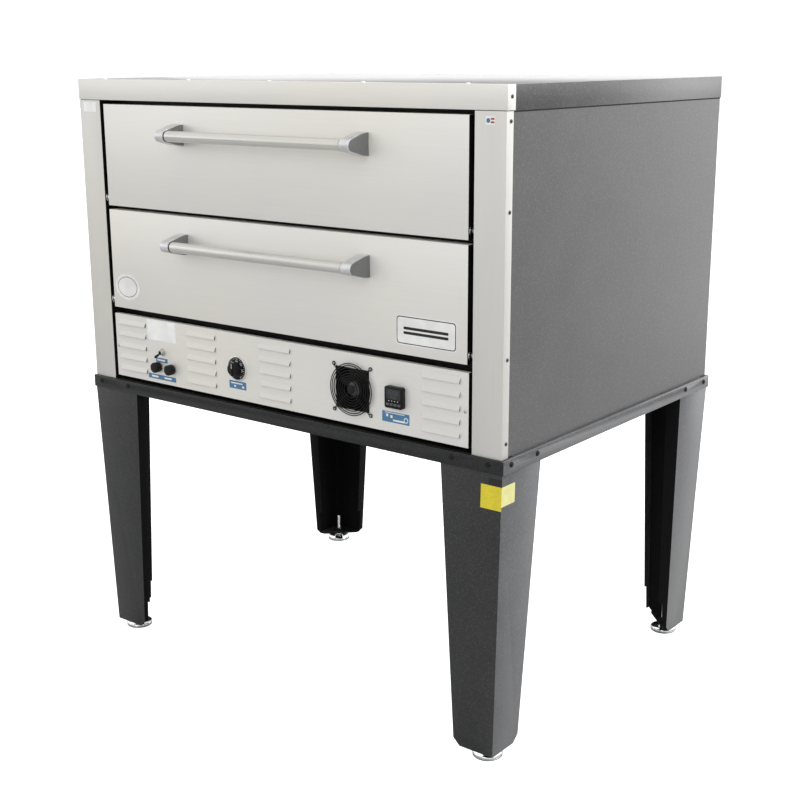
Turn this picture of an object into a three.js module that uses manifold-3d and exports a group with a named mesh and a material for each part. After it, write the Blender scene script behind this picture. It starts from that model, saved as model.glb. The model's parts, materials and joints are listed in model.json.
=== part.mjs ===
// Two-deck pizza oven on an open leg stand.
// Millimetres, +Z up, the doors face -Y. The origin is on the floor, under the middle of the outline.
import * as THREE from 'three';
import { mergeVertices } from 'three/addons/utils/BufferGeometryUtils.js';
import Module from 'manifold-3d';

const wasm = await Module();
wasm.setup();

// ---- Clearances and sheet thicknesses
const GAP = 0.3;
const GRID = 1 / 1024;
const SHEET = 1.5;
const LINER_SHEET = 2;
const LEG_SHEET = 2.5;
const RAIL_SHEET = 2;

// ---- Body shell, measured from the body's underside and its front face
const BODY_WIDTH = 1275;
const BODY_DEPTH = 949.8;
const BODY_HEIGHT = 754;
const HALF_WIDTH = BODY_WIDTH / 2;
const SEAM_HEIGHT = 703.5;
const FASCIA_BOTTOM = 704.5;
const FASCIA_OVERHANG = 1.8;
const FASCIA_LIP = 15;
const FASCIA_RETURN = 28;
const LIP_SCREW = { radius: 5, height: 2.2, y: 7, places: [-545, -251, 6, 274, 540] };
const STILE_WIDTH = 75;
const STILE_RETURN = 24;
const STILE_INNER_RETURN = 41;
const PANEL_FACE = HALF_WIDTH - SHEET - GAP;
const INNER_FACE = PANEL_FACE - SHEET - GAP;
const PANEL_TOP = 749;
const FLOOR_TOP = 1.8;
const CABLE = { x: 480, z: 60, radius: 14 };
const TERMINALS = { x: 480, front: 840, back: 876, poles: 4, pitch: 18, height: 16, barrier: 26, wall: 3 };

// ---- Front frame and its three windows
const FRAME_FRONT = 42.3;
const FRAME_DEPTH = 15;
const FRAME_BACK = FRAME_FRONT + FRAME_DEPTH;
const WINDOW_HALF_WIDTH = 530;
const WINDOW_SILL = 44.2;
const WINDOW_HEIGHT = 184;
const BAY_HALF_WIDTH = 545;
const BAY_BOTTOM = 15;
const BAY_TOP = 153;

// ---- Doors
const DOOR_HALF_WIDTH = 549.3;
const DOOR_HEIGHT = 247;
const DOOR_DEPTH = 33;
const DOOR_BOTTOMS = { upper: 447.8, lower: 190.8 };
const PIN_ABOVE_BOTTOM = 18;
const PIN_BEHIND_FACE = 14;
const PIN_RADIUS = 5;
const PIN_CLEARANCE = 0.5;
const PIN_HALF_LENGTH = 570;
const PLUG_HALF_WIDTH = 524;
const PLUG_FROM_BOTTOM = 50;
const PLUG_HEIGHT = 172;
const PLUG_BACK = 41.3;

// ---- Door handles
const BAR_RADIUS = 12.7;
const BAR_WALL = 1.5;
const BAR_HALF_LENGTH = 266.7;
const BAR_FROM_FACE = 54;
const BAR_ABOVE_BOTTOM = 181;
const BRACKET_WIDTH = 27;
const BRACKET_HALF_HEIGHT = 25;
const BRACKET_NOSE = 14;

// ---- Chambers
const LINER_HALF_WIDTH = 560;
const LINER_BOTTOM = 176;
const LINER_TOP = 702;
const LINER_BACK = 900;
const DECK_THICKNESS = 38;
const DECK_HALF_WIDTH = 556;
const DECK_FRONT = 59;
const DECK_BACK = 896;
const LEDGE_WIDTH = 22;
const LEDGE_THICKNESS = 3;
const INSULATION_BOTTOM = 156;
const INSULATION_BACK_GAP = 12;
const ELEMENT_RADIUS = 4.5;
const ELEMENT_HOLE = 5.5;
const ELEMENT_SPACING = 280;
const ELEMENT_BEND_FRONT = 240;
const ELEMENT_BEND_BACK = 720;
const ELEMENT_LEAD_BACK = 908;
const ELEMENT_STEPS = 40;

// ---- Control panel and what is on it
const CONTROL_FACE = 2;
const CONTROL_HALF_WIDTH = 552.5;
const CONTROL_BOTTOM = 11.5;
const CONTROL_TOP = 173.5;
const CONTROL_RETURN = 12;
const CONTROL_BACK = CONTROL_FACE + SHEET + GAP;
const LOUVRE_CENTRES = [-488.5, -241, 3, 481.5];
const LOUVRE_HEIGHTS = [148, 118.5, 89, 59.5, 30];
const LOUVRE_LENGTH = 99;
const LOUVRE_RISE = 12;
const LOUVRE_PROUD = 4.6;
const LOUVRE_SHEET = 1.2;
const FAN = { x: 237.8, z: 92, size: 119, depth: 37.5, bore: 56.5, window: 96 };
const FAN_SPIDER = { thickness: 5, strut: 4, motor: 24 };
const FAN_BLADES = { count: 7, length: 36, thickness: 2, width: 26, pitch: 38, hub: 21, clearance: 3 };
const GUARD_WIRE = 1.1;
const GUARD_RADII = [59, 50, 40, 30, 20];
const GUARD_STANDOFF = 5;
const GUARD_HUB = 10;
const EAR_OFFSET = 52.5;
const EAR_RADIUS = 3.8;
const THERMOSTAT = { x: -118, z: 89, half: 18, depth: 32, thread: 4.6, shaft: 3, shaftProud: 12 };
const KNOB = { dial: 27, dialDepth: 2.5, grip: 15, gripDepth: 17, rib: 2.5, stand: 1.2, bore: 3.4 };
const CONTROLLER = { x: 362, z: 93.5, size: 48, proud: 12, back: 82, corner: 4.5, cell: 1.6 };
const BUTTON = { width: 8, height: 5, pitch: 10.4, fromMiddle: -15.5, proud: 0.7, depth: 3, travel: 1.2 };
const SWITCH = { x: -380, z: 93, half: 10, tall: 15, depth: 30, bush: 6, bore: 4.4, washer: 9.5, nut: 8.6 };
const LEVER_PIVOT = -3;
const LEVER_TILT = THREE.MathUtils.degToRad(22);
const FUSES = { left: -395.5, right: -346.3, z: 54, barrel: 7.4, nut: 12, nutDepth: 3, block: 40, depth: 36 };
const FUSE_CAP = { radius: 13, reach: 18, bore: 8, boreDepth: 10 };
const FLUTES = { count: 8, radius: 2.6, at: 14.6 };

// ---- Stand, measured from the floor
const STAND_HEIGHT = 708;
const RAIL_HALF_WIDTH = 644;
const RAIL_FRONT = -4.2;
const RAIL_BACK = 954;
const RAIL_BOTTOM = 677;
const RAIL_TOP = 707.7;
const RAIL_FLANGE = 28;
const BOLT = { radius: 6.5, height: 3.5, drop: 12, along: [-615, -513, 513, 606], deep: [27, 127, 822, 924] };
const LEG_TOP = 705.2;
const LEG_BOTTOM = 20;
const LEG_CORNER_X = 641.6;
const LEG_CORNER_FRONT = -1.9;
const LEG_CORNER_BACK = 951.5;
const LEG_LEAN_X = 22.3;
const LEG_LEAN_FRONT = 10.4;
const LEG_LEAN_BACK = 21;
const LEG_FRONT_WIDTH = 160;
const LEG_SIDE_WIDTH = 150;
const LEG_FRONT_NARROWING = 55;
const LEG_SIDE_NARROWING = 50;
const LEG_LIP = 38;
const LEG_LIP_NARROWING = 14;
const LEG_CHAMFER = 16;
const LIP_NARROW = 13;
const LIP_NARROW_HEIGHT = 80;
const FOOT_PLATE = { reach: 96, thickness: 4, above: 1, nut: 11, nutHeight: 10 };
const FOOT_INSET = 38.7;
const FOOT_RADIUS = 34;
const FOOT_RIM = 9.5;
const STUD_RADIUS = 6;
const STUD_TOP = 78;

// ---- Finishes
const STAINLESS = { color: 0xd2d0c9, roughness: 0.32, metalness: 0.9 };
const GREY_PAINT = { color: 0x8b8c8a, roughness: 0.5, metalness: 0.3 };
const DARK_PAINT = { color: 0x45484a, roughness: 0.5, metalness: 0.3 };
const BLACK_PAINT = { color: 0x141414, roughness: 0.7, metalness: 0.1 };
const CHROME = { color: 0xe0e2e4, roughness: 0.12, metalness: 1.0 };
const ALUMINISED = { color: 0x9c9d9c, roughness: 0.5, metalness: 0.8 };
const HEARTH = { color: 0x9a8f80, roughness: 0.9, metalness: 0.0 };
const WOOL = { color: 0xc9b98f, roughness: 1.0, metalness: 0.0 };
const BLACK_PLASTIC = { color: 0x16161a, roughness: 0.45, metalness: 0.0 };
const GREY_PLASTIC = { color: 0x55575a, roughness: 0.5, metalness: 0.0 };
const NICKEL = { color: 0xb9b7b0, roughness: 0.3, metalness: 0.9 };

// ---- Solids and cuts
function box(x0, x1, y0, y1, z0, z1) {
  const geometry = new THREE.BoxGeometry(x1 - x0, y1 - y0, z1 - z0);
  return geometry.translate((x0 + x1) / 2, (y0 + y1) / 2, (z0 + z1) / 2);
}

function rodAlongX(x0, x1, y, z, radius, sides = 24) {
  const geometry = new THREE.CylinderGeometry(radius, radius, x1 - x0, sides);
  geometry.rotateZ(Math.PI / 2);
  return geometry.translate((x0 + x1) / 2, y, z);
}

function rodAlongY(x, y0, y1, z, radius, sides = 24) {
  const geometry = new THREE.CylinderGeometry(radius, radius, y1 - y0, sides);
  return geometry.translate(x, (y0 + y1) / 2, z);
}

function rodAlongZ(x, y, z0, z1, radius, sides = 24) {
  const geometry = new THREE.CylinderGeometry(radius, radius, z1 - z0, sides);
  geometry.rotateX(Math.PI / 2);
  return geometry.translate(x, y, (z0 + z1) / 2);
}

// Faces that should lie in one plane get exactly the same coordinate.
function toGrid(value) {
  return Math.round(value / GRID) * GRID;
}

function toSolid(geometry) {
  const bare = geometry.clone();
  bare.deleteAttribute('normal');
  bare.deleteAttribute('uv');
  const merged = mergeVertices(bare, 1e-4);
  const vertProperties = new Float32Array(merged.attributes.position.array).map(toGrid);
  const triVerts = new Uint32Array(merged.index.array);
  return new wasm.Manifold(new wasm.Mesh({ numProp: 3, vertProperties, triVerts }));
}

function fromSolid(solid) {
  const mesh = solid.getMesh();
  const geometry = new THREE.BufferGeometry();
  geometry.setAttribute('position', new THREE.BufferAttribute(new Float32Array(mesh.vertProperties), 3));
  geometry.setIndex(new THREE.BufferAttribute(new Uint32Array(mesh.triVerts), 1));
  return geometry;
}

function build(added, removed = []) {
  let solid = toSolid(added[0]);
  for (const geometry of added.slice(1)) {
    solid = solid.add(toSolid(geometry));
  }
  for (const geometry of removed) {
    solid = solid.subtract(toSolid(geometry));
  }
  return fromSolid(solid);
}

function place(group, name, geometry, finish) {
  const mesh = new THREE.Mesh(geometry, new THREE.MeshStandardMaterial(finish));
  mesh.name = name;
  group.add(mesh);
  return mesh;
}

// A pair of x limits, measured outwards from the middle on the given side.
function sideSpan(side, inner, outer) {
  return side > 0 ? [inner, outer] : [-outer, -inner];
}

// A low round head standing on a face, about +Y. Its foot is sunk in to join the sheet behind it.
function roundHead(radius, height, sunk = 1) {
  const profile = [[0, -sunk], [radius, -sunk], [radius, height * 0.4], [radius * 0.65, height], [0, height]];
  return new THREE.LatheGeometry(profile.map(([r, y]) => new THREE.Vector2(r, y)), 12);
}

// ---- Body shell
function topCover() {
  const outer = HALF_WIDTH;
  const inner = HALF_WIDTH - SHEET;
  const front = FASCIA_LIP + GAP;
  return build([
    box(-outer, outer, front, BODY_DEPTH, SEAM_HEIGHT, BODY_HEIGHT),
  ], [
    box(-inner, inner, front - 5, BODY_DEPTH - SHEET, SEAM_HEIGHT - 5, BODY_HEIGHT - SHEET),
  ]);
}

function topFascia() {
  const outer = HALF_WIDTH + FASCIA_OVERHANG;
  const inner = outer - SHEET;
  const screws = LIP_SCREW.places.map((x) => {
    const head = roundHead(LIP_SCREW.radius, LIP_SCREW.height);
    head.rotateX(Math.PI / 2);
    return head.translate(x, LIP_SCREW.y, BODY_HEIGHT);
  });
  return build([
    box(-outer, outer, 0, SHEET, FASCIA_BOTTOM, BODY_HEIGHT),
    box(-outer, outer, 0, FASCIA_LIP, BODY_HEIGHT - SHEET, BODY_HEIGHT),
    box(-outer, -inner, 0, FASCIA_RETURN, FASCIA_BOTTOM, BODY_HEIGHT),
    box(inner, outer, 0, FASCIA_RETURN, FASCIA_BOTTOM, BODY_HEIGHT),
    ...screws,
  ]);
}

function frontStile(side) {
  const top = SEAM_HEIGHT - GAP;
  const inner = HALF_WIDTH - STILE_WIDTH;
  const face = sideSpan(side, inner, HALF_WIDTH);
  const outerReturn = sideSpan(side, HALF_WIDTH - SHEET, HALF_WIDTH);
  const innerReturn = sideSpan(side, inner, inner + SHEET);
  const holes = Object.values(DOOR_BOTTOMS).map((bottom) => {
    const pinHeight = bottom + PIN_ABOVE_BOTTOM;
    const reach = sideSpan(side, inner - 2, inner + 4);
    return rodAlongX(reach[0], reach[1], PIN_BEHIND_FACE, pinHeight, PIN_RADIUS + PIN_CLEARANCE);
  });
  return build([
    box(face[0], face[1], 0, SHEET, GAP, top),
    box(outerReturn[0], outerReturn[1], 0, STILE_RETURN, GAP, top),
    box(innerReturn[0], innerReturn[1], 0, STILE_INNER_RETURN, GAP, top),
  ], holes);
}

function sidePanel(side) {
  const span = sideSpan(side, PANEL_FACE - SHEET, PANEL_FACE);
  return box(span[0], span[1], SHEET + GAP, BODY_DEPTH - SHEET - GAP, FLOOR_TOP + GAP, PANEL_TOP);
}

function backPanel() {
  const back = BODY_DEPTH - SHEET - 2 * GAP;
  const sheet = box(-INNER_FACE, INNER_FACE, back - SHEET, back, FLOOR_TOP + GAP, PANEL_TOP);
  return build([sheet], [rodAlongY(CABLE.x, back - 5, back + 5, CABLE.z, CABLE.radius)]);
}

function bottomPanel() {
  return box(-PANEL_FACE, PANEL_FACE, STILE_INNER_RETURN + GAP, BODY_DEPTH - SHEET - GAP, GAP, FLOOR_TOP);
}

function frontFrame() {
  const windows = Object.values(DOOR_BOTTOMS).map((bottom) => {
    const sill = bottom + WINDOW_SILL;
    return box(-WINDOW_HALF_WIDTH, WINDOW_HALF_WIDTH, 0, 100, sill, sill + WINDOW_HEIGHT);
  });
  const controlBay = box(-BAY_HALF_WIDTH, BAY_HALF_WIDTH, 0, 100, BAY_BOTTOM, BAY_TOP);
  const plate = box(-INNER_FACE, INNER_FACE, FRAME_FRONT, FRAME_BACK, FLOOR_TOP + GAP, SEAM_HEIGHT - GAP);
  return build([plate], [...windows, controlBay]);
}

// ---- Chambers
function deckTop(level) {
  return DOOR_BOTTOMS[level] + WINDOW_SILL;
}

function deck(level) {
  const top = deckTop(level);
  return box(-DECK_HALF_WIDTH, DECK_HALF_WIDTH, DECK_FRONT, DECK_BACK, top - DECK_THICKNESS, top);
}

function elementHeights() {
  const underDeck = 9;
  const aboveWindow = 11;
  return {
    upper_top_element: deckTop('upper') + WINDOW_HEIGHT + aboveWindow,
    upper_bottom_element: deckTop('upper') - DECK_THICKNESS - underDeck,
    lower_top_element: deckTop('lower') + WINDOW_HEIGHT + aboveWindow - 2,
    lower_bottom_element: deckTop('lower') - DECK_THICKNESS - underDeck,
  };
}

function chamberLiner() {
  const front = FRAME_BACK + GAP;
  const inner = LINER_HALF_WIDTH - LINER_SHEET;
  const outside = box(-LINER_HALF_WIDTH, LINER_HALF_WIDTH, front, LINER_BACK, LINER_BOTTOM, LINER_TOP);
  const floor = LINER_BOTTOM + LINER_SHEET;
  const hollow = box(-inner, inner, 0, LINER_BACK - LINER_SHEET, floor, LINER_TOP - LINER_SHEET);
  const shell = build([outside], [hollow]);
  const ledges = [];
  for (const level of ['upper', 'lower']) {
    for (const side of [-1, 1]) {
      const span = sideSpan(side, inner - LEDGE_WIDTH, inner + 1);
      const top = deckTop(level) - DECK_THICKNESS - GAP;
      ledges.push(box(span[0], span[1], DECK_FRONT, LINER_BACK - 1, top - LEDGE_THICKNESS, top));
    }
  }
  const leadHoles = [];
  for (const height of Object.values(elementHeights())) {
    for (const side of [-1, 1]) {
      const x = side * ELEMENT_SPACING * 1.5;
      leadHoles.push(rodAlongY(x, LINER_BACK - 6, LINER_BACK + 6, height, ELEMENT_HOLE, 12));
    }
  }
  return build([shell, ...ledges], leadHoles);
}

function insulationWrap() {
  const front = FRAME_BACK + GAP;
  const back = BODY_DEPTH - 2 * SHEET - 3 * GAP;
  const inner = LINER_HALF_WIDTH + GAP;
  const outer = box(-INNER_FACE, INNER_FACE, front, back, INSULATION_BOTTOM, PANEL_TOP);
  const hollow = box(-inner, inner, 0, LINER_BACK + INSULATION_BACK_GAP, LINER_BOTTOM - GAP, LINER_TOP + GAP);
  return build([outer], [hollow]);
}

// The heating element's centre line: four long runs joined by three half-round bends.
class ElementPath extends THREE.Curve {
  constructor(height) {
    super();
    this.height = height;
    const radius = ELEMENT_SPACING / 2;
    this.outline = new THREE.Path();
    this.outline.moveTo(-3 * radius, ELEMENT_LEAD_BACK);
    this.outline.lineTo(-3 * radius, ELEMENT_BEND_FRONT);
    this.outline.absarc(-2 * radius, ELEMENT_BEND_FRONT, radius, Math.PI, 2 * Math.PI, false);
    this.outline.lineTo(-radius, ELEMENT_BEND_BACK);
    this.outline.absarc(0, ELEMENT_BEND_BACK, radius, Math.PI, 0, true);
    this.outline.lineTo(radius, ELEMENT_BEND_FRONT);
    this.outline.absarc(2 * radius, ELEMENT_BEND_FRONT, radius, Math.PI, 2 * Math.PI, false);
    this.outline.lineTo(3 * radius, ELEMENT_LEAD_BACK);
  }

  getPoint(t) {
    const point = this.outline.getPointAt(t);
    return new THREE.Vector3(point.x, point.y, this.height);
  }
}

function heatingElement(height) {
  const section = new THREE.Shape();
  const sides = 6;
  for (let i = 0; i < sides; i += 1) {
    const angle = (i / sides) * 2 * Math.PI;
    const x = ELEMENT_RADIUS * Math.cos(angle);
    const y = ELEMENT_RADIUS * Math.sin(angle);
    if (i === 0) section.moveTo(x, y);
    else section.lineTo(x, y);
  }
  return new THREE.ExtrudeGeometry(section, {
    steps: ELEMENT_STEPS,
    bevelEnabled: false,
    extrudePath: new ElementPath(height),
  });
}

// ---- Doors, each built about its hinge pin's axis
const DOOR_LOW = -PIN_ABOVE_BOTTOM;
const DOOR_HIGH = DOOR_HEIGHT - PIN_ABOVE_BOTTOM;
const DOOR_FACE = -PIN_BEHIND_FACE;
const DOOR_REAR = DOOR_DEPTH - PIN_BEHIND_FACE;

function doorSkin() {
  const w = DOOR_HALF_WIDTH;
  const outer = box(-w, w, DOOR_FACE, DOOR_REAR, DOOR_LOW, DOOR_HIGH);
  const inner = w - SHEET;
  const hollow = box(-inner, inner, DOOR_FACE + SHEET, DOOR_REAR + 5, DOOR_LOW + SHEET, DOOR_HIGH - SHEET);
  const pinHole = rodAlongX(-w - 5, w + 5, 0, 0, PIN_RADIUS + PIN_CLEARANCE);
  return build([outer], [hollow, pinHole]);
}

function doorInsulation() {
  const w = DOOR_HALF_WIDTH - SHEET - 2;
  const abovePin = PIN_RADIUS + 5;
  return box(-w, w, DOOR_FACE + SHEET + GAP, DOOR_REAR - SHEET - 2 * GAP, abovePin, DOOR_HIGH - SHEET - 2);
}

function doorLiner() {
  const w = DOOR_HALF_WIDTH - SHEET - GAP;
  const low = DOOR_LOW + SHEET + GAP;
  const high = DOOR_HIGH - SHEET - GAP;
  const plugLow = DOOR_LOW + PLUG_FROM_BOTTOM;
  const plugHigh = plugLow + PLUG_HEIGHT;
  const plugBack = PLUG_BACK - PIN_BEHIND_FACE;
  const p = PLUG_HALF_WIDTH;
  return build([
    box(-w, w, DOOR_REAR - SHEET - GAP, DOOR_REAR - GAP, low, high),
    box(-p, p, DOOR_REAR - SHEET - GAP, plugBack, plugLow, plugHigh),
  ], [
    box(-p + SHEET, p - SHEET, DOOR_REAR - 10, plugBack - SHEET, plugLow + SHEET, plugHigh - SHEET),
  ]);
}

function hingeRod() {
  return rodAlongX(-PIN_HALF_LENGTH, PIN_HALF_LENGTH, 0, 0, PIN_RADIUS);
}

const BAR_Y = DOOR_FACE - BAR_FROM_FACE;
const BAR_Z = DOOR_LOW + BAR_ABOVE_BOTTOM;

function handleBar() {
  const wall = [
    new THREE.Vector2(BAR_RADIUS - BAR_WALL, -BAR_HALF_LENGTH),
    new THREE.Vector2(BAR_RADIUS, -BAR_HALF_LENGTH),
    new THREE.Vector2(BAR_RADIUS, BAR_HALF_LENGTH),
    new THREE.Vector2(BAR_RADIUS - BAR_WALL, BAR_HALF_LENGTH),
    new THREE.Vector2(BAR_RADIUS - BAR_WALL, -BAR_HALF_LENGTH),
  ];
  const geometry = new THREE.LatheGeometry(wall, 24);
  geometry.rotateZ(Math.PI / 2);
  return geometry.translate(0, BAR_Y, BAR_Z);
}

// The end bracket's outline from the side: deep at the door, rounded where it holds the bar.
function handleBracket(side) {
  const root = BAR_FROM_FACE - GAP;
  const h = BRACKET_HALF_HEIGHT;
  const n = BRACKET_NOSE;
  const outline = new THREE.Shape();
  outline.moveTo(root, -h);
  outline.lineTo(root, h);
  outline.bezierCurveTo(root * 0.5, h, n * 1.2, n * 1.25, n * 0.35, n * 0.94);
  outline.absarc(0, 0, n, 1.22, 2 * Math.PI - 1.22, false);
  outline.bezierCurveTo(n * 1.2, -n * 1.25, root * 0.5, -h, root, -h);
  const geometry = new THREE.ExtrudeGeometry(outline, {
    depth: BRACKET_WIDTH,
    bevelEnabled: false,
    curveSegments: 8,
  });
  geometry.rotateX(Math.PI / 2);
  geometry.rotateZ(Math.PI / 2);
  const start = side > 0 ? BAR_HALF_LENGTH + GAP : -BAR_HALF_LENGTH - GAP - BRACKET_WIDTH;
  geometry.computeBoundingBox();
  return geometry.translate(start - geometry.boundingBox.min.x, BAR_Y, BAR_Z);
}

function addDoor(body, level) {
  const door = new THREE.Group();
  door.position.set(0, PIN_BEHIND_FACE, DOOR_BOTTOMS[level] + PIN_ABOVE_BOTTOM);
  place(door, `${level}_door_skin`, doorSkin(), STAINLESS);
  place(door, `${level}_door_insulation`, doorInsulation(), WOOL);
  place(door, `${level}_door_liner`, doorLiner(), ALUMINISED);
  place(door, `${level}_hinge_rod`, hingeRod(), NICKEL);
  place(door, `${level}_handle_bar`, handleBar(), STAINLESS);
  place(door, `${level}_handle_bracket_left`, handleBracket(-1), STAINLESS);
  place(door, `${level}_handle_bracket_right`, handleBracket(1), STAINLESS);
  body.add(door);
}

// ---- Control panel
function louvreHood(x, z) {
  const y = CONTROL_FACE;
  const hood = new THREE.Shape();
  hood.moveTo(y + SHEET, z + LOUVRE_RISE);
  hood.lineTo(y, z + LOUVRE_RISE);
  hood.lineTo(y - LOUVRE_PROUD * 0.6, z + LOUVRE_RISE * 0.5);
  hood.lineTo(y - LOUVRE_PROUD, z);
  hood.lineTo(y - LOUVRE_PROUD + LOUVRE_SHEET, z);
  hood.lineTo(y - LOUVRE_PROUD * 0.6 + LOUVRE_SHEET, z + LOUVRE_RISE * 0.5 - 0.6);
  hood.lineTo(y + SHEET * 0.5, z + LOUVRE_RISE - LOUVRE_SHEET);
  hood.lineTo(y + SHEET, z + LOUVRE_RISE - LOUVRE_SHEET);
  const geometry = new THREE.ExtrudeGeometry(hood, { depth: LOUVRE_LENGTH, bevelEnabled: false });
  geometry.rotateX(Math.PI / 2);
  geometry.rotateZ(Math.PI / 2);
  geometry.computeBoundingBox();
  return geometry.translate(x - LOUVRE_LENGTH / 2 - geometry.boundingBox.min.x, 0, 0);
}

function louvreSlot(x, z) {
  const half = LOUVRE_LENGTH / 2 - 1;
  const top = z + LOUVRE_RISE - LOUVRE_SHEET;
  return box(x - half, x + half, CONTROL_FACE - 1, CONTROL_FACE + SHEET + 1, z, top);
}

function controlPanel() {
  const w = CONTROL_HALF_WIDTH;
  const back = CONTROL_FACE + CONTROL_RETURN;
  const pan = build([
    box(-w, w, CONTROL_FACE, back, CONTROL_BOTTOM, CONTROL_TOP),
  ], [
    box(-w + SHEET, w - SHEET, CONTROL_FACE + SHEET, back + 5, CONTROL_BOTTOM + SHEET, CONTROL_TOP - SHEET),
  ]);
  const hoods = [];
  const openings = [];
  for (const x of LOUVRE_CENTRES) {
    for (const z of LOUVRE_HEIGHTS) {
      hoods.push(louvreHood(x, z));
      openings.push(louvreSlot(x, z));
    }
  }
  const through = [CONTROL_FACE - 5, CONTROL_FACE + 5];
  const half = FAN.window / 2;
  openings.push(box(FAN.x - half, FAN.x + half, through[0], through[1], FAN.z - half, FAN.z + half));
  const cell = CONTROLLER.size / 2 - 1.2;
  const { x: cx, z: cz } = CONTROLLER;
  openings.push(box(cx - cell, cx + cell, through[0], through[1], cz - cell, cz + cell));
  openings.push(rodAlongY(THERMOSTAT.x, through[0], through[1], THERMOSTAT.z, 5, 16));
  openings.push(rodAlongY(SWITCH.x, through[0], through[1], SWITCH.z, 6.5, 16));
  openings.push(rodAlongY(FUSES.left, through[0], through[1], FUSES.z, 8, 16));
  openings.push(rodAlongY(FUSES.right, through[0], through[1], FUSES.z, 8, 16));
  const slotted = build([pan], openings);
  return build([slotted, ...hoods]);
}

function fanFrame() {
  const { x, z, size, depth, bore } = FAN;
  const front = CONTROL_BACK;
  const back = front + depth;
  const housing = build([
    box(x - size / 2, x + size / 2, front, back, z - size / 2, z + size / 2),
  ], [
    rodAlongY(x, front - 5, back + 5, z, bore, 40),
  ]);
  const spiderFront = back - FAN_SPIDER.thickness;
  const { strut } = FAN_SPIDER;
  return build([
    housing,
    rodAlongY(x, spiderFront, back, z, FAN_SPIDER.motor, 24),
    box(x - bore - 1, x + bore + 1, spiderFront, back, z - strut, z + strut),
    box(x - strut, x + strut, spiderFront, back, z - bore - 1, z + bore + 1),
  ]);
}

function fanRotor() {
  const { count, length, thickness, width, pitch, hub, clearance } = FAN_BLADES;
  const front = CONTROL_BACK + clearance;
  const back = CONTROL_BACK + FAN.depth - FAN_SPIDER.thickness - 1;
  const parts = [rodAlongY(0, front, back, 0, hub, 28)];
  for (let i = 0; i < count; i += 1) {
    const blade = new THREE.BoxGeometry(length, thickness, width);
    blade.rotateX(THREE.MathUtils.degToRad(pitch));
    blade.translate(length, (front + back) / 2, 0);
    blade.rotateY((i / count) * 2 * Math.PI);
    parts.push(blade);
  }
  return build(parts).translate(FAN.x, 0, FAN.z);
}

function fanGuard() {
  const ringY = CONTROL_FACE - GUARD_STANDOFF - GUARD_WIRE;
  const spokeY = ringY + 1.5 * GUARD_WIRE;
  const earY = CONTROL_FACE - GAP - GUARD_WIRE;
  const parts = [];
  for (const radius of GUARD_RADII) {
    const ring = new THREE.TorusGeometry(radius, GUARD_WIRE, 4, radius > 30 ? 28 : 16);
    ring.rotateX(Math.PI / 2);
    ring.translate(0, ringY, 0);
    parts.push(ring);
  }
  parts.push(rodAlongY(0, ringY - 1, spokeY + 1, 0, GUARD_HUB, 16));
  const diagonal = EAR_OFFSET * Math.SQRT2;
  const spokeEnd = diagonal - EAR_RADIUS - 0.2;
  for (let quarter = 0; quarter < 4; quarter += 1) {
    const turn = Math.PI / 4 + (quarter * Math.PI) / 2;
    const spoke = rodAlongX(6, spokeEnd, spokeY, 0, GUARD_WIRE, 6);
    const post = rodAlongY(spokeEnd - 0.5, spokeY - GUARD_WIRE, earY + GUARD_WIRE, 0, GUARD_WIRE, 6);
    const ear = new THREE.TorusGeometry(EAR_RADIUS, GUARD_WIRE, 4, 8);
    ear.rotateX(Math.PI / 2);
    ear.translate(diagonal, earY, 0);
    for (const piece of [spoke, post, ear]) {
      piece.rotateY(turn);
      parts.push(piece);
    }
  }
  return build(parts).translate(FAN.x, 0, FAN.z);
}

function thermostatBody() {
  const { half, depth, thread, shaft, shaftProud } = THERMOSTAT;
  return build([
    box(-half, half, CONTROL_BACK, CONTROL_BACK + depth, -half - 2, half + 2),
    rodAlongY(0, CONTROL_FACE - 1, CONTROL_BACK + 1, 0, thread, 16),
    rodAlongY(0, CONTROL_FACE - shaftProud, CONTROL_BACK + 1, 0, shaft, 16),
  ]).translate(THERMOSTAT.x, 0, THERMOSTAT.z);
}

function thermostatKnob() {
  const dialBack = CONTROL_FACE - KNOB.stand;
  const dialFront = dialBack - KNOB.dialDepth;
  const gripFront = dialFront - KNOB.gripDepth;
  const ribHalf = KNOB.grip + 0.5;
  const boreFront = CONTROL_FACE - THERMOSTAT.shaftProud - 1;
  return build([
    rodAlongY(0, dialFront, dialBack, 0, KNOB.dial, 40),
    rodAlongY(0, gripFront, dialFront + 0.5, 0, KNOB.grip, 28),
    box(-KNOB.rib, KNOB.rib, gripFront - 1.5, dialFront, -ribHalf, ribHalf),
  ], [
    rodAlongY(0, boreFront, CONTROL_FACE + 2, 0, KNOB.bore, 16),
  ]).translate(THERMOSTAT.x, 0, THERMOSTAT.z);
}

function roundedSquare(half, radius) {
  const shape = new THREE.Shape();
  shape.moveTo(-half + radius, -half);
  shape.lineTo(half - radius, -half);
  shape.absarc(half - radius, -half + radius, radius, -Math.PI / 2, 0, false);
  shape.lineTo(half, half - radius);
  shape.absarc(half - radius, half - radius, radius, 0, Math.PI / 2, false);
  shape.lineTo(-half + radius, half);
  shape.absarc(-half + radius, half - radius, radius, Math.PI / 2, Math.PI, false);
  shape.lineTo(-half, -half + radius);
  shape.absarc(-half + radius, -half + radius, radius, Math.PI, 1.5 * Math.PI, false);
  return shape;
}

function buttonX(index) {
  return CONTROLLER.x + (index - 1.5) * BUTTON.pitch;
}

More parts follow.
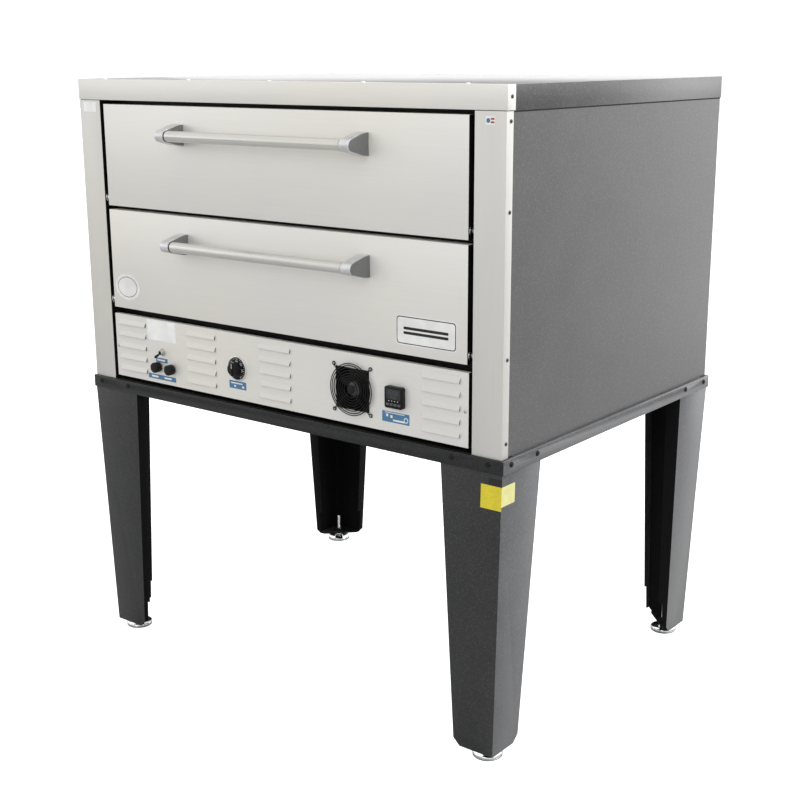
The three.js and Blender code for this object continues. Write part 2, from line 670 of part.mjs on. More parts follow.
function controllerCase() {
  const { x, z, size, proud, back } = CONTROLLER;
  const front = CONTROL_FACE - proud;
  const bezel = new THREE.ExtrudeGeometry(roundedSquare(size / 2, CONTROLLER.corner), {
    depth: proud - GAP,
    bevelEnabled: false,
    curveSegments: 4,
  });
  bezel.rotateX(Math.PI / 2);
  bezel.translate(x, CONTROL_FACE - GAP, z);
  const cell = size / 2 - CONTROLLER.cell;
  const can = box(x - cell, x + cell, CONTROL_FACE - 1, back, z - cell, z + cell);
  const pockets = [];
  for (let i = 0; i < 4; i += 1) {
    const cx = buttonX(i);
    const cz = z + BUTTON.fromMiddle;
    const w = BUTTON.width / 2 + GAP;
    const h = BUTTON.height / 2 + GAP;
    const floor = front + BUTTON.depth + BUTTON.travel;
    pockets.push(box(cx - w, cx + w, front - 1, floor, cz - h, cz + h));
  }
  return build([bezel, can], pockets);
}

function controllerButton(index) {
  const front = CONTROL_FACE - CONTROLLER.proud;
  const x = buttonX(index);
  const z = CONTROLLER.z + BUTTON.fromMiddle;
  const w = BUTTON.width / 2;
  const h = BUTTON.height / 2;
  return box(x - w, x + w, front - BUTTON.proud, front + BUTTON.depth, z - h, z + h);
}

function switchBody() {
  const { half, tall, depth, bush, bore, washer, nut } = SWITCH;
  const bushFront = LEVER_PIVOT - 5;
  const seat = CONTROL_FACE - GAP;
  return build([
    box(-half, half, CONTROL_BACK, CONTROL_BACK + depth, -tall, tall),
    rodAlongY(0, bushFront, CONTROL_BACK + 1, 0, bush, 20),
    rodAlongY(0, seat - 1.2, seat, 0, washer, 20),
    rodAlongY(0, seat - 4, seat - 1, 0, nut, 6),
  ], [
    rodAlongY(0, bushFront - 2, CONTROL_BACK, 0, bore, 20),
  ]).translate(SWITCH.x, 0, SWITCH.z);
}

// A bat-shaped lever on a ball, built about the ball's centre.
function switchLever() {
  const profile = [
    new THREE.Vector2(0, -3.4),
    new THREE.Vector2(2.4, -2.4),
    new THREE.Vector2(3.4, 0),
    new THREE.Vector2(2.6, 2.2),
    new THREE.Vector2(1.7, 3.4),
    new THREE.Vector2(1.8, 6),
    new THREE.Vector2(3.2, 17),
    new THREE.Vector2(3.3, 21),
    new THREE.Vector2(2.2, 23.2),
    new THREE.Vector2(0, 24),
  ];
  const geometry = new THREE.LatheGeometry(profile, 16);
  geometry.rotateX(Math.PI);
  geometry.rotateX(LEVER_TILT);
  return geometry;
}

function fuseBlock() {
  const { left, right, z, barrel, nut, nutDepth, block, depth } = FUSES;
  const middle = (left + right) / 2;
  const seat = CONTROL_FACE - GAP;
  const parts = [box(middle - block, middle + block, CONTROL_BACK, CONTROL_BACK + depth, z - 13, z + 13)];
  for (const x of [left, right]) {
    parts.push(rodAlongY(x, CONTROL_FACE - 9, CONTROL_BACK + 1, z, barrel, 20));
    parts.push(rodAlongY(x, seat - nutDepth, seat, z, nut, 6));
  }
  return build(parts);
}

function fuseCap() {
  const { radius, reach, bore, boreDepth } = FUSE_CAP;
  const back = CONTROL_FACE - GAP - FUSES.nutDepth - GAP;
  const front = CONTROL_FACE - reach;
  const grooves = [];
  for (let i = 0; i < FLUTES.count; i += 1) {
    const angle = (i / FLUTES.count) * 2 * Math.PI;
    const x = FLUTES.at * Math.cos(angle);
    const z = FLUTES.at * Math.sin(angle);
    grooves.push(rodAlongY(x, front - 1, back - 2.5, z, FLUTES.radius, 10));
  }
  return build([
    rodAlongY(0, front, back, 0, radius, 32),
  ], [
    rodAlongY(0, CONTROL_FACE - boreDepth, back + 1, 0, bore, 20),
    ...grooves,
  ]);
}

function addControls(body) {
  place(body, 'control_panel', controlPanel(), STAINLESS);
  place(body, 'fan_frame', fanFrame(), BLACK_PLASTIC);
  place(body, 'fan_rotor', fanRotor(), BLACK_PLASTIC);
  place(body, 'fan_guard', fanGuard(), BLACK_PAINT);
  place(body, 'thermostat_body', thermostatBody(), GREY_PLASTIC);
  place(body, 'thermostat_knob', thermostatKnob(), BLACK_PLASTIC);
  place(body, 'controller_case', controllerCase(), BLACK_PLASTIC);
  for (let i = 0; i < 4; i += 1) {
    place(body, `controller_button_${i + 1}`, controllerButton(i), GREY_PLASTIC);
  }
  place(body, 'switch_body', switchBody(), NICKEL);
  place(body, 'switch_lever', switchLever(), BLACK_PLASTIC).position.set(SWITCH.x, LEVER_PIVOT, SWITCH.z);
  place(body, 'fuse_block', fuseBlock(), GREY_PLASTIC);
  place(body, 'fuse_cap_left', fuseCap(), BLACK_PLASTIC).position.set(FUSES.left, 0, FUSES.z);
  place(body, 'fuse_cap_right', fuseCap(), BLACK_PLASTIC).position.set(FUSES.right, 0, FUSES.z);
}

// A strip of screw terminals on the floor of the control bay, where the supply cable is joined.
function terminalBlock() {
  const { x, front, back, poles, pitch, height, barrier, wall } = TERMINALS;
  const base = FLOOR_TOP + GAP;
  const half = (poles * pitch) / 2;
  const barriers = [];
  for (let i = 0; i <= poles; i += 1) {
    const middle = x - half + i * pitch;
    barriers.push(box(middle - wall / 2, middle + wall / 2, front, back, base, base + barrier));
  }
  return build([box(x - half, x + half, front, back, base, base + height), ...barriers]);
}

// ---- Stand
const BOLT_HEIGHT = STAND_HEIGHT - BOLT.drop;

function endRail(y0, y1, inward) {
  const flangeSpan = inward > 0 ? [y1 - 0.5, y1 + RAIL_FLANGE] : [y0 - RAIL_FLANGE, y0 + 0.5];
  const flangeHalf = RAIL_HALF_WIDTH - RAIL_SHEET - GAP;
  const bolts = BOLT.along.map((x) => {
    const head = roundHead(BOLT.radius, BOLT.height);
    if (inward > 0) head.rotateX(Math.PI);
    return head.translate(x, inward > 0 ? y0 : y1, BOLT_HEIGHT);
  });
  return build([
    box(-RAIL_HALF_WIDTH, RAIL_HALF_WIDTH, y0, y1, RAIL_BOTTOM, RAIL_TOP),
    box(-flangeHalf, flangeHalf, flangeSpan[0], flangeSpan[1], RAIL_TOP - RAIL_SHEET, RAIL_TOP),
    ...bolts,
  ]);
}

function sideRail(side) {
  const web = sideSpan(side, RAIL_HALF_WIDTH - RAIL_SHEET, RAIL_HALF_WIDTH);
  const flange = sideSpan(side, RAIL_HALF_WIDTH - RAIL_SHEET - RAIL_FLANGE, RAIL_HALF_WIDTH - 0.5);
  const y0 = RAIL_FRONT + RAIL_SHEET + GAP;
  const y1 = RAIL_BACK - RAIL_SHEET - GAP;
  const bolts = BOLT.deep.map((y) => {
    const head = roundHead(BOLT.radius, BOLT.height);
    head.rotateZ((-side * Math.PI) / 2);
    return head.translate(side * RAIL_HALF_WIDTH, y, BOLT_HEIGHT);
  });
  return build([
    box(web[0], web[1], y0, y1, RAIL_BOTTOM, RAIL_TOP),
    box(flange[0], flange[1], y0 + RAIL_FLANGE, y1 - RAIL_FLANGE, RAIL_TOP - RAIL_SHEET, RAIL_TOP),
    ...bolts,
  ]);
}

// The distance along a plate at the leg's foot that matches a distance at its top.
function narrowed(distance, width, narrowing) {
  if (distance > width / 2) return distance - narrowing;
  if (distance > LEG_LIP - 1) return distance - LEG_LIP_NARROWING;
  return distance;
}

function leanY(sideY) {
  return sideY > 0 ? LEG_LEAN_BACK : LEG_LEAN_FRONT;
}

// One L-section leg with a lip along each free edge. It narrows and leans in towards the floor.
function leg(sideX, sideY) {
  const w = LEG_FRONT_WIDTH;
  const d = LEG_SIDE_WIDTH;
  const t = LEG_SHEET;
  const section = new THREE.Shape([
    [0, 0], [w, 0], [w, LEG_LIP], [w - t, LEG_LIP], [w - t, t],
    [t, t], [t, d - t], [LEG_LIP, d - t], [LEG_LIP, d], [0, d],
  ].map(([u, v]) => new THREE.Vector2(-sideX * u, -sideY * v)));
  const geometry = new THREE.ExtrudeGeometry(section, { depth: LEG_TOP - LEG_BOTTOM, bevelEnabled: false });
  const position = geometry.attributes.position;
  for (let i = 0; i < position.count; i += 1) {
    if (position.getZ(i) > 1) continue;
    const u = narrowed(-sideX * position.getX(i), w, LEG_FRONT_NARROWING);
    const v = narrowed(-sideY * position.getY(i), d, LEG_SIDE_NARROWING);
    position.setX(i, -sideX * (u + LEG_LEAN_X));
    position.setY(i, -sideY * (v + leanY(sideY)));
  }
  geometry.translate(sideX * LEG_CORNER_X, sideY > 0 ? LEG_CORNER_BACK : LEG_CORNER_FRONT, LEG_BOTTOM);
  return build([geometry, ...footPlate(sideX, sideY)], legCuts(sideX, sideY));
}

// The leg's outer corner where it ends above the floor.
function footCorner(sideX, sideY) {
  const topY = sideY > 0 ? LEG_CORNER_BACK : LEG_CORNER_FRONT;
  return [sideX * (LEG_CORNER_X - LEG_LEAN_X), topY - sideY * leanY(sideY)];
}

function footCentre(sideX, sideY) {
  const [cornerX, cornerY] = footCorner(sideX, sideY);
  return [cornerX - sideX * FOOT_INSET, cornerY - sideY * FOOT_INSET];
}

// A three-cornered plate across the leg's end, with the nut that the foot's stud turns in.
function footPlate(sideX, sideY) {
  const [cornerX, cornerY] = footCorner(sideX, sideY);
  const [x, y] = footCentre(sideX, sideY);
  const { reach, thickness, above, nut, nutHeight } = FOOT_PLATE;
  const inset = LEG_SHEET / 2;
  const tip = LEG_SHEET * 2;
  const outline = [[inset, inset], [reach, inset], [reach, tip], [tip, reach], [inset, reach]];
  const shape = new THREE.Shape(outline.map(([u, v]) => new THREE.Vector2(-sideX * u, -sideY * v)));
  const plate = new THREE.ExtrudeGeometry(shape, { depth: thickness, bevelEnabled: false });
  const low = LEG_BOTTOM + above;
  plate.translate(cornerX, cornerY, low);
  return [plate, rodAlongZ(x, y, low + thickness - 1, low + thickness + nutHeight, nut, 6)];
}

// A block standing on a leg's free edge: spans are measured inwards from the leg's corner at its foot.
function legBlock(sideX, sideY, alongX, alongY, bottom, top) {
  const [cornerX, cornerY] = footCorner(sideX, sideY);
  const [x0, x1] = alongX.map((distance) => cornerX - sideX * distance).sort((a, b) => a - b);
  const [y0, y1] = alongY.map((distance) => cornerY - sideY * distance).sort((a, b) => a - b);
  return box(x0, x1, y0, y1, bottom, top);
}

function legCuts(sideX, sideY) {
  const [cornerX, cornerY] = footCorner(sideX, sideY);
  const [x, y] = footCentre(sideX, sideY);
  const frontEdge = LEG_FRONT_WIDTH - LEG_FRONT_NARROWING;
  const sideEdge = LEG_SIDE_WIDTH - LEG_SIDE_NARROWING;
  const size = LEG_CHAMFER * Math.SQRT2;
  const through = LEG_LIP * 2;
  const frontCorner = new THREE.BoxGeometry(size, through, size);
  frontCorner.rotateY(Math.PI / 4);
  frontCorner.translate(cornerX - sideX * frontEdge, cornerY, LEG_BOTTOM);
  const sideCorner = new THREE.BoxGeometry(through, size, size);
  sideCorner.rotateX(Math.PI / 4);
  sideCorner.translate(cornerX, cornerY - sideY * sideEdge, LEG_BOTTOM);
  const below = LEG_BOTTOM - 5;
  const narrowTop = LEG_BOTTOM + LIP_NARROW_HEIGHT;
  const pastLip = [LIP_NARROW, 60];
  const frontSpan = [frontEdge - 12, frontEdge + 12];
  const sideSpanAtFoot = [sideEdge - 12, sideEdge + 12];
  return [
    rodAlongZ(x, y, below, LEG_BOTTOM + 40, STUD_RADIUS + 0.6, 20),
    frontCorner,
    sideCorner,
    legBlock(sideX, sideY, frontSpan, pastLip, below, narrowTop),
    legBlock(sideX, sideY, pastLip, sideSpanAtFoot, below, narrowTop),
  ];
}

function levellingFoot(sideX, sideY) {
  const [x, y] = footCentre(sideX, sideY);
  const profile = [
    new THREE.Vector2(0, 0),
    new THREE.Vector2(FOOT_RADIUS - 1.5, 0),
    new THREE.Vector2(FOOT_RADIUS, 1.5),
    new THREE.Vector2(FOOT_RADIUS, FOOT_RIM - 1.5),
    new THREE.Vector2(FOOT_RADIUS - 1.5, FOOT_RIM),
    new THREE.Vector2(STUD_RADIUS * 2, FOOT_RIM),
    new THREE.Vector2(STUD_RADIUS, FOOT_RIM + 2),
    new THREE.Vector2(STUD_RADIUS, STUD_TOP - 1.5),
    new THREE.Vector2(STUD_RADIUS - 1.5, STUD_TOP),
    new THREE.Vector2(0, STUD_TOP),
  ];
  const geometry = new THREE.LatheGeometry(profile, 24);
  geometry.rotateX(Math.PI / 2);
  return geometry.translate(x, y, 0);
}

function addStand(oven) {
  place(oven, 'front_rail', endRail(RAIL_FRONT, RAIL_FRONT + RAIL_SHEET, 1), DARK_PAINT);
  place(oven, 'back_rail', endRail(RAIL_BACK - RAIL_SHEET, RAIL_BACK, -1), DARK_PAINT);
  place(oven, 'left_rail', sideRail(-1), DARK_PAINT);
  place(oven, 'right_rail', sideRail(1), DARK_PAINT);
  const corners = { front_left: [-1, -1], front_right: [1, -1], back_left: [-1, 1], back_right: [1, 1] };
  for (const [corner, [sideX, sideY]] of Object.entries(corners)) {
    place(oven, `${corner}_leg`, leg(sideX, sideY), DARK_PAINT);
    place(oven, `${corner}_foot`, levellingFoot(sideX, sideY), CHROME);
  }
}

function addBody(oven) {
  const body = new THREE.Group();
  body.position.z = STAND_HEIGHT;
  place(body, 'top_cover', topCover(), GREY_PAINT);
  place(body, 'top_fascia', topFascia(), STAINLESS);
  place(body, 'left_stile', frontStile(-1), STAINLESS);
  place(body, 'right_stile', frontStile(1), STAINLESS);
  place(body, 'left_side_panel', sidePanel(-1), GREY_PAINT);
  place(body, 'right_side_panel', sidePanel(1), GREY_PAINT);
  place(body, 'back_panel', backPanel(), GREY_PAINT);
  place(body, 'bottom_panel', bottomPanel(), GREY_PAINT);
  place(body, 'front_frame', frontFrame(), BLACK_PAINT);
  place(body, 'chamber_liner', chamberLiner(), ALUMINISED);
  place(body, 'upper_deck', deck('upper'), HEARTH);
  place(body, 'lower_deck', deck('lower'), HEARTH);
  place(body, 'insulation_wrap', insulationWrap(), WOOL);
  for (const [name, height] of Object.entries(elementHeights())) {
    place(body, name, heatingElement(height), NICKEL);
  }
  addDoor(body, 'upper');
  addDoor(body, 'lower');
  addControls(body);
  place(body, 'terminal_block', terminalBlock(), BLACK_PLASTIC);
  oven.add(body);
}

// The outline runs from the handles' noses to the bolt heads on the back rail.
const FRONT_REACH = BAR_FROM_FACE + BRACKET_NOSE;
const BACK_REACH = RAIL_BACK + BOLT.height;
const oven = new THREE.Group();
oven.position.y = -(BACK_REACH - FRONT_REACH) / 2;
addBody(oven);
addStand(oven);

export default oven;
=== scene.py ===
import json
import math

import bmesh
import bpy
from bpy.props import FloatProperty, FloatVectorProperty, PointerProperty
from mathutils import Matrix, Vector

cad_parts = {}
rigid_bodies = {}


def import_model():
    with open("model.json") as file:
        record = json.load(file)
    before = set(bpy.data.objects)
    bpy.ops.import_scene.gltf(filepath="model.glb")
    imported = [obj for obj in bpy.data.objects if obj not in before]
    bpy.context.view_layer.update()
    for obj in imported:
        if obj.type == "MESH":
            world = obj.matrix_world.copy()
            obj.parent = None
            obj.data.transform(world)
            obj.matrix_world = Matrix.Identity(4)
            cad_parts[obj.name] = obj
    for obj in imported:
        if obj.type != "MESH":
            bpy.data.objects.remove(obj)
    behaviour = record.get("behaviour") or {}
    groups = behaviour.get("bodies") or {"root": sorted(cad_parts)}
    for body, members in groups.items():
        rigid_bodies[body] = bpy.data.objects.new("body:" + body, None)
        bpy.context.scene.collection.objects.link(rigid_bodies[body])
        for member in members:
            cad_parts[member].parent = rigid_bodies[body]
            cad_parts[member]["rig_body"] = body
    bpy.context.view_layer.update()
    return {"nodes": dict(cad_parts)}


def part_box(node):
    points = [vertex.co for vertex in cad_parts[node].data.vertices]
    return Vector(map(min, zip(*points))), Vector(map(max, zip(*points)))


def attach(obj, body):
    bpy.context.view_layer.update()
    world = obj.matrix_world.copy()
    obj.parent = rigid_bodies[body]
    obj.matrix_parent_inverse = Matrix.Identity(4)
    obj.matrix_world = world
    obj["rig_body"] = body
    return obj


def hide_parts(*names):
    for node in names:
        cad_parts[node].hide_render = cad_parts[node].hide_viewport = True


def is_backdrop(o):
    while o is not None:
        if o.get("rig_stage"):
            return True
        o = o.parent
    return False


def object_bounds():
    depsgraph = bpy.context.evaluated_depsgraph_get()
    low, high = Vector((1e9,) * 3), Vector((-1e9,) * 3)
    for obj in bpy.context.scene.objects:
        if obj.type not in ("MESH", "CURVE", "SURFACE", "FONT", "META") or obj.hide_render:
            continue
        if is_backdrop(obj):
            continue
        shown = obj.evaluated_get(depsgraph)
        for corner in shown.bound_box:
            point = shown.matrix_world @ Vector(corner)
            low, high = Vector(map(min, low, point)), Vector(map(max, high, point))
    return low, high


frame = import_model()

bl_info = {
    "name": "Deck oven finishing",
    "version": (1, 0, 0),
    "blender": (4, 5, 0),
    "location": "3D View > Sidebar > Deck Oven",
    "description": "Adds fittings, labels, finishes and a studio to a two-deck pizza oven's frame",
    "category": "Object",
}

MM = 0.001
FULL_TURN = 2 * math.pi

# Names that the frame's pieces share. A side's number says which way it faces along x.
LEVELS, SIDES = ("upper", "lower"), {"left": -1, "right": 1}
CORNERS = ("front_left", "front_right", "back_left", "back_right")
BUTTONS = [f"controller_button_{index}" for index in range(1, 5)]

# Planes and edges that the fittings sit on, all read from the frame.
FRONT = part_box("upper_door_skin")[0].y
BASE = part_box("left_stile")[0].z - 0.3 * MM
PANEL_LOW, PANEL_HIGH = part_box("control_panel")
PANEL_FACE = FRONT + 2 * MM
STRIP_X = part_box("right_stile")[1].x
FASCIA_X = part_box("top_fascia")[1].x
X_AXIS, Y_AXIS, Z_AXIS = Vector((1, 0, 0)), Vector((0, 1, 0)), Vector((0, 0, 1))


def at(x, y, z):
    """A point in millimetres from the oven's middle, its front face and its body's underside."""
    return Vector((x * MM, FRONT + y * MM, BASE + z * MM))


def middle(node):
    """The middle of a frame piece."""
    low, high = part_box(node)
    return (low + high) / 2


def outer(node, out):
    """How far right a frame piece reaches where out is 1, and how far left where it is -1."""
    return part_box(node)[1 if out > 0 else 0].x


# ---------------------------------------------------------------- Settings

def colour(label, about, value):
    return FloatVectorProperty(name=label, description=about, subtype="COLOR", size=3, min=0,
                               max=1, default=value)


def length(label, about, value):
    return FloatProperty(name=label, description=about, subtype="DISTANCE", unit="LENGTH",
                         min=0, default=value)


def power(label, about, value):
    return FloatProperty(name=label, description=about, unit="POWER", min=0, default=value)


class OvenFinishes(bpy.types.PropertyGroup):
    """Colours of the oven's finishes."""
    stainless: colour("Stainless steel", "Brushed sheet of the doors, stiles and panel",
                      (0.80, 0.79, 0.75))
    body_paint: colour("Body paint", "Baked paint on the cover, sides and back",
                       (0.032, 0.032, 0.032))
    stand_paint: colour("Stand paint", "Baked paint on the legs and rails", (0.012, 0.0124, 0.0133))
    hearth: colour("Hearth", "Fired stone of the two decks", (0.46, 0.40, 0.33))
    label_blue: colour("Blue label", "Control labels", (0.075, 0.20, 0.36))
    label_yellow: colour("Yellow label", "Caution label on the leg", (0.76, 0.64, 0.035))
    mineral_wool: colour("Insulation", "Mineral wool behind the liners", (0.55, 0.46, 0.30))


class OvenSizes(bpy.types.PropertyGroup):
    """Sizes of the fittings added to the frame."""
    screw_head: length("Screw head", "Diameter of a sheet screw's pan head", 8.5 * MM)
    bushing: length("Hinge bushing", "Diameter of the flange round each hinge pin", 24 * MM)
    guard_wire: length("Guard wire", "Diameter of the fan guard's wires", 2.2 * MM)
    label_thickness: length("Label thickness", "Thickness of labels and stickers", 0.3 * MM)
    sheet_edge: length("Sheet edge", "Rounding on the edges of folded sheets", 0.45 * MM)
    thread_pitch: length("Thread pitch", "Pitch of the levelling studs", 1.75 * MM)


class OvenStudio(bpy.types.PropertyGroup):
    """Stage, lights and camera."""
    floor: colour("Floor", "Plain pale floor", (0.50, 0.50, 0.50))
    sky: FloatProperty(name="Surround", description="Brightness of the plain surround",
                       default=0.93, min=0)
    front_light: power("Front light", "High soft light at the front", 72)
    left_light: power("Left light", "Soft fill from the left of the front", 16)
    side_light: power("Side light", "Soft light from the right", 10)
    back_light: power("Back light", "Low soft light behind the right side", 12)
    screen_light: power("Screen light", "Wide low light that the top sheet mirrors", 62)
    top_light: power("Top light", "Broad soft light over the right side", 135)
    lens: FloatProperty(name="Lens", description="Camera focal length", unit="CAMERA",
                        default=59.85, min=1)


# ---------------------------------------------------------------- Node helpers

def join(tree, sockets, values):
    """Links a socket to each named input, or sets a plain value on it."""
    for name, value in values.items():
        if isinstance(value, bpy.types.NodeSocket):
            tree.links.new(value, sockets[name])
        else:
            sockets[name].default_value = value


def add(tree, kind, inputs=None, **settings):
    """Adds a shader node, sets its options, and sets or links its inputs."""
    node = tree.nodes.new(kind)
    for name, value in settings.items():
        setattr(node, name, value)
    join(tree, node.inputs, inputs or {})
    return node


def spread(tree, value, low, high, from_low=0.0, from_high=1.0):
    """Maps a value's range onto another."""
    return add(tree, "ShaderNodeMapRange", {
        "Value": value, "From Min": from_low, "From Max": from_high, "To Min": low, "To Max": high,
    }).outputs["Result"]


def maths(tree, operation, a, b=0.0):
    return add(tree, "ShaderNodeMath", {0: a, 1: b}, operation=operation).outputs[0]


def weighed(tree, first, second, share):
    """The sum of two values, of which the first has the given share."""
    return maths(tree, "ADD", maths(tree, "MULTIPLY", first, share),
                 maths(tree, "MULTIPLY", second, 1 - share))


def noise(tree, place, scale, detail=2.0, roughness=0.5, distortion=0.0):
    return add(tree, "ShaderNodeTexNoise", {
        "Vector": place, "Scale": scale, "Detail": detail, "Roughness": roughness,
        "Distortion": distortion}).outputs["Fac"]


def stretched(tree, place, scale):
    return add(tree, "ShaderNodeMapping", {"Vector": place, "Scale": scale}).outputs["Vector"]


def tint(tree, factor, first, second, blend="MIX"):
    """Mixes two colours by a mask."""
    factor_input, first_input, second_input = 0, 6, 7
    opaque = [value if isinstance(value, bpy.types.NodeSocket) else (*value, 1.0)
              for value in (first, second)]
    node = add(tree, "ShaderNodeMix", data_type="RGBA", blend_type=blend)
    join(tree, node.inputs, {
        factor_input: factor, first_input: opaque[0], second_input: opaque[1]})
    return node.outputs[2]


def scaled(shade, by):
    return tuple(min(1.0, part * by) for part in shade)


def shades(tree, mask, shade, dark, light, low=0.3, high=0.7):
    """A shade that varies from dark to light times itself as the mask goes from low to high."""
    return tint(tree, spread(tree, mask, 0, 1, low, high), scaled(shade, dark),
                scaled(shade, light))


NUMBER, PLACE = "NodeSocketFloat", "NodeSocketVector"


def shared_group(build):
    """Builds a node group once, named after its function, and hands it to every material."""
    name = build.__name__.replace("_", " ").capitalize()

    def fetch():
        if name not in bpy.data.node_groups:
            build(name)
        return bpy.data.node_groups[name]
    return fetch


def group_shell(name, inputs, outputs):
    """An empty node group with named sockets. An input without a default is a place."""
    tree = bpy.data.node_groups.new(name, "ShaderNodeTree")
    for label, default in inputs.items():
        kind = PLACE if default is None else NUMBER
        socket = tree.interface.new_socket(name=label, in_out="INPUT", socket_type=kind)
        if default is not None:
            socket.default_value = default
    for label, kind in outputs.items():
        tree.interface.new_socket(name=label, in_out="OUTPUT", socket_type=kind)
    given, put = tree.nodes.new("NodeGroupInput"), tree.nodes.new("NodeGroupOutput")
    return tree, given.outputs, put.inputs


@shared_group
def brushed_grain(name):
    """Fine drawn lines with soft, wide handling marks over them."""
    tree, given, put = group_shell(
        name, {"Place": None, "Stretched Place": None, "Line Scale": 30.0, "Smudge Scale": 3.0},
        {"Lines": NUMBER, "Smudge": NUMBER, "Tone": NUMBER})
    lines = noise(tree, given["Stretched Place"], given["Line Scale"], 7.0, 0.72)
    smudge = noise(tree, given["Place"], given["Smudge Scale"], 3.0, 0.45, distortion=0.6)
    join(tree, put, {
        "Lines": lines, "Smudge": smudge, "Tone": weighed(tree, lines, smudge, 0.6)})


@shared_group
def baked_speckle(name):
    """The fine mottle and sparse pale flecks of baked hammered paint."""
    tree, given, put = group_shell(
        name, {"Place": None, "Scale": 260.0, "Fleck Share": 0.2},
        {"Mottle": NUMBER, "Fleck": NUMBER, "Height": NUMBER})
    mottle = noise(tree, given["Place"], given["Scale"], 3.0, 0.6)
    cloud = noise(tree, given["Place"], 9.0)
    cells = add(tree, "ShaderNodeTexVoronoi", {
        "Vector": given["Place"], "Scale": given["Scale"]}).outputs["Distance"]
    join(tree, put, {
        "Mottle": weighed(tree, mottle, cloud, 0.7),
        "Fleck": spread(tree, cells, 0.0, 1.0, given["Fleck Share"], 0.05),
        "Height": maths(tree, "ADD", mottle, cells)})


@shared_group
def edge_rub(name):
    """A mask along edges, broken up so that it looks rubbed rather than drawn."""
    tree, given, put = group_shell(
        name, {"Place": None, "Width": 0.0015, "Breakup Scale": 60.0},
        {"Mask": NUMBER, "Rounded": PLACE})
    rounded = add(tree, "ShaderNodeBevel", {"Radius": given["Width"]}, samples=4)
    plain = add(tree, "ShaderNodeNewGeometry")
    turn = add(tree, "ShaderNodeVectorMath",
               {0: rounded.outputs["Normal"], 1: plain.outputs["Normal"]},
               operation="DOT_PRODUCT").outputs["Value"]
    edge = spread(tree, turn, 0.0, 1.0, 0.995, 0.80)
    breakup = noise(tree, given["Place"], given["Breakup Scale"], 4.0, 0.65)
    broken = spread(tree, breakup, 0.0, 1.0, 0.38, 0.62)
    join(tree, put, {
        "Mask": maths(tree, "MULTIPLY", edge, broken), "Rounded": rounded.outputs["Normal"]})


@shared_group
def settled_dust(name):
    """A faint mask of dust on faces that look up."""
    tree, given, put = group_shell(name, {"Place": None, "Amount": 0.3}, {"Mask": NUMBER})
    facing = add(tree, "ShaderNodeSeparateXYZ", {
        "Vector": add(tree, "ShaderNodeNewGeometry").outputs["Normal"]}).outputs["Z"]
    up = spread(tree, facing, 0.0, 1.0, 0.5, 1.0)
    patches = spread(tree, noise(tree, given["Place"], 14.0, 5.0, 0.6), 0.2, 1.0, 0.35, 0.7)
    dusty = maths(tree, "MULTIPLY", up, patches)
    join(tree, put, {"Mask": maths(tree, "MULTIPLY", dusty, given["Amount"])})


def use(tree, group, inputs):
    return add(tree, "ShaderNodeGroup", inputs, node_tree=group).outputs


def rubbed(tree, place, width, breakup):
    """The shared edge rub, with its width in metres."""
    return use(tree, edge_rub(), {"Place": place, "Width": width, "Breakup Scale": breakup})


# ---------------------------------------------------------------- Finishes

# Colours that show through, lie on, or shade a finish.
COOL_STEEL, WARM_STEEL = (0.985, 0.99, 1.0), (1.0, 0.99, 0.965)
RUBBED_STEEL = (0.93, 0.93, 0.92)
RUBBED_PAINT = (0.16, 0.16, 0.16)
DUST = (0.30, 0.295, 0.28)
SCORCHED_STONE = (0.20, 0.145, 0.10)
PALE_GRIT = (0.66, 0.60, 0.52)

# How far brushed lines are drawn out: 1.5 along them, and 160 across.
BRUSHED = {"X": (1.5, 160.0, 160.0), "Y": (160.0, 1.5, 160.0), "Z": (160.0, 160.0, 1.5)}


def blank_finish(name, **shader):
    """A material with one Principled shader, its plain settings, and Object coordinates."""
    made = bpy.data.materials.new(name)
    made.use_nodes = True
    tree = made.node_tree
    tree.nodes.clear()
    surface = add(tree, "ShaderNodeBsdfPrincipled")
    for socket, value in shader.items():
        label = socket.replace("_", " ").title().replace("Ior", "IOR")
        surface.inputs[label].default_value = value
    add(tree, "ShaderNodeOutputMaterial", {"Surface": surface.outputs["BSDF"]})
    place = add(tree, "ShaderNodeTexCoord").outputs["Object"]
    return made, tree, surface, place


def dress(tree, surface, base, roughness, height, depth, strength=1.0, normal=None):
    """Feeds the shader its colour, its roughness, and a bump whose depth is in metres."""
    bump = {"Height": height, "Distance": depth, "Strength": strength}
    if normal is not None:
        bump["Normal"] = normal
    join(tree, surface.inputs, {
        "Base Color": base, "Roughness": roughness,
        "Normal": add(tree, "ShaderNodeBump", bump).outputs["Normal"]})


def brushed_sheet(name, shade, along="X", metallic=0.38, rough=(0.42, 0.54), contrast=0.045):
    """Brushed sheet metal with its lines along one axis."""
    made, tree, surface, place = blank_finish(name, metallic=metallic)
    grain = use(tree, brushed_grain(), {
        "Place": place, "Stretched Place": stretched(tree, place, BRUSHED[along]),
        "Line Scale": 4.0, "Smudge Scale": 2.4})
    edge = rubbed(tree, place, 0.0012, 25.0)
    base = shades(tree, grain["Tone"], shade, 1 - contrast, 1 + contrast)
    warmth = tint(tree, spread(tree, grain["Smudge"], 0, 1, 0.35, 0.65), COOL_STEEL, WARM_STEEL)
    base = tint(tree, 1.0, base, warmth, "MULTIPLY")
    base = tint(tree, maths(tree, "MULTIPLY", edge["Mask"], 0.5), base, RUBBED_STEEL)
    dress(tree, surface, base, spread(tree, grain["Tone"], *rough, 0.3, 0.7), grain["Lines"],
          0.00006, 0.6, edge["Rounded"])
    return made


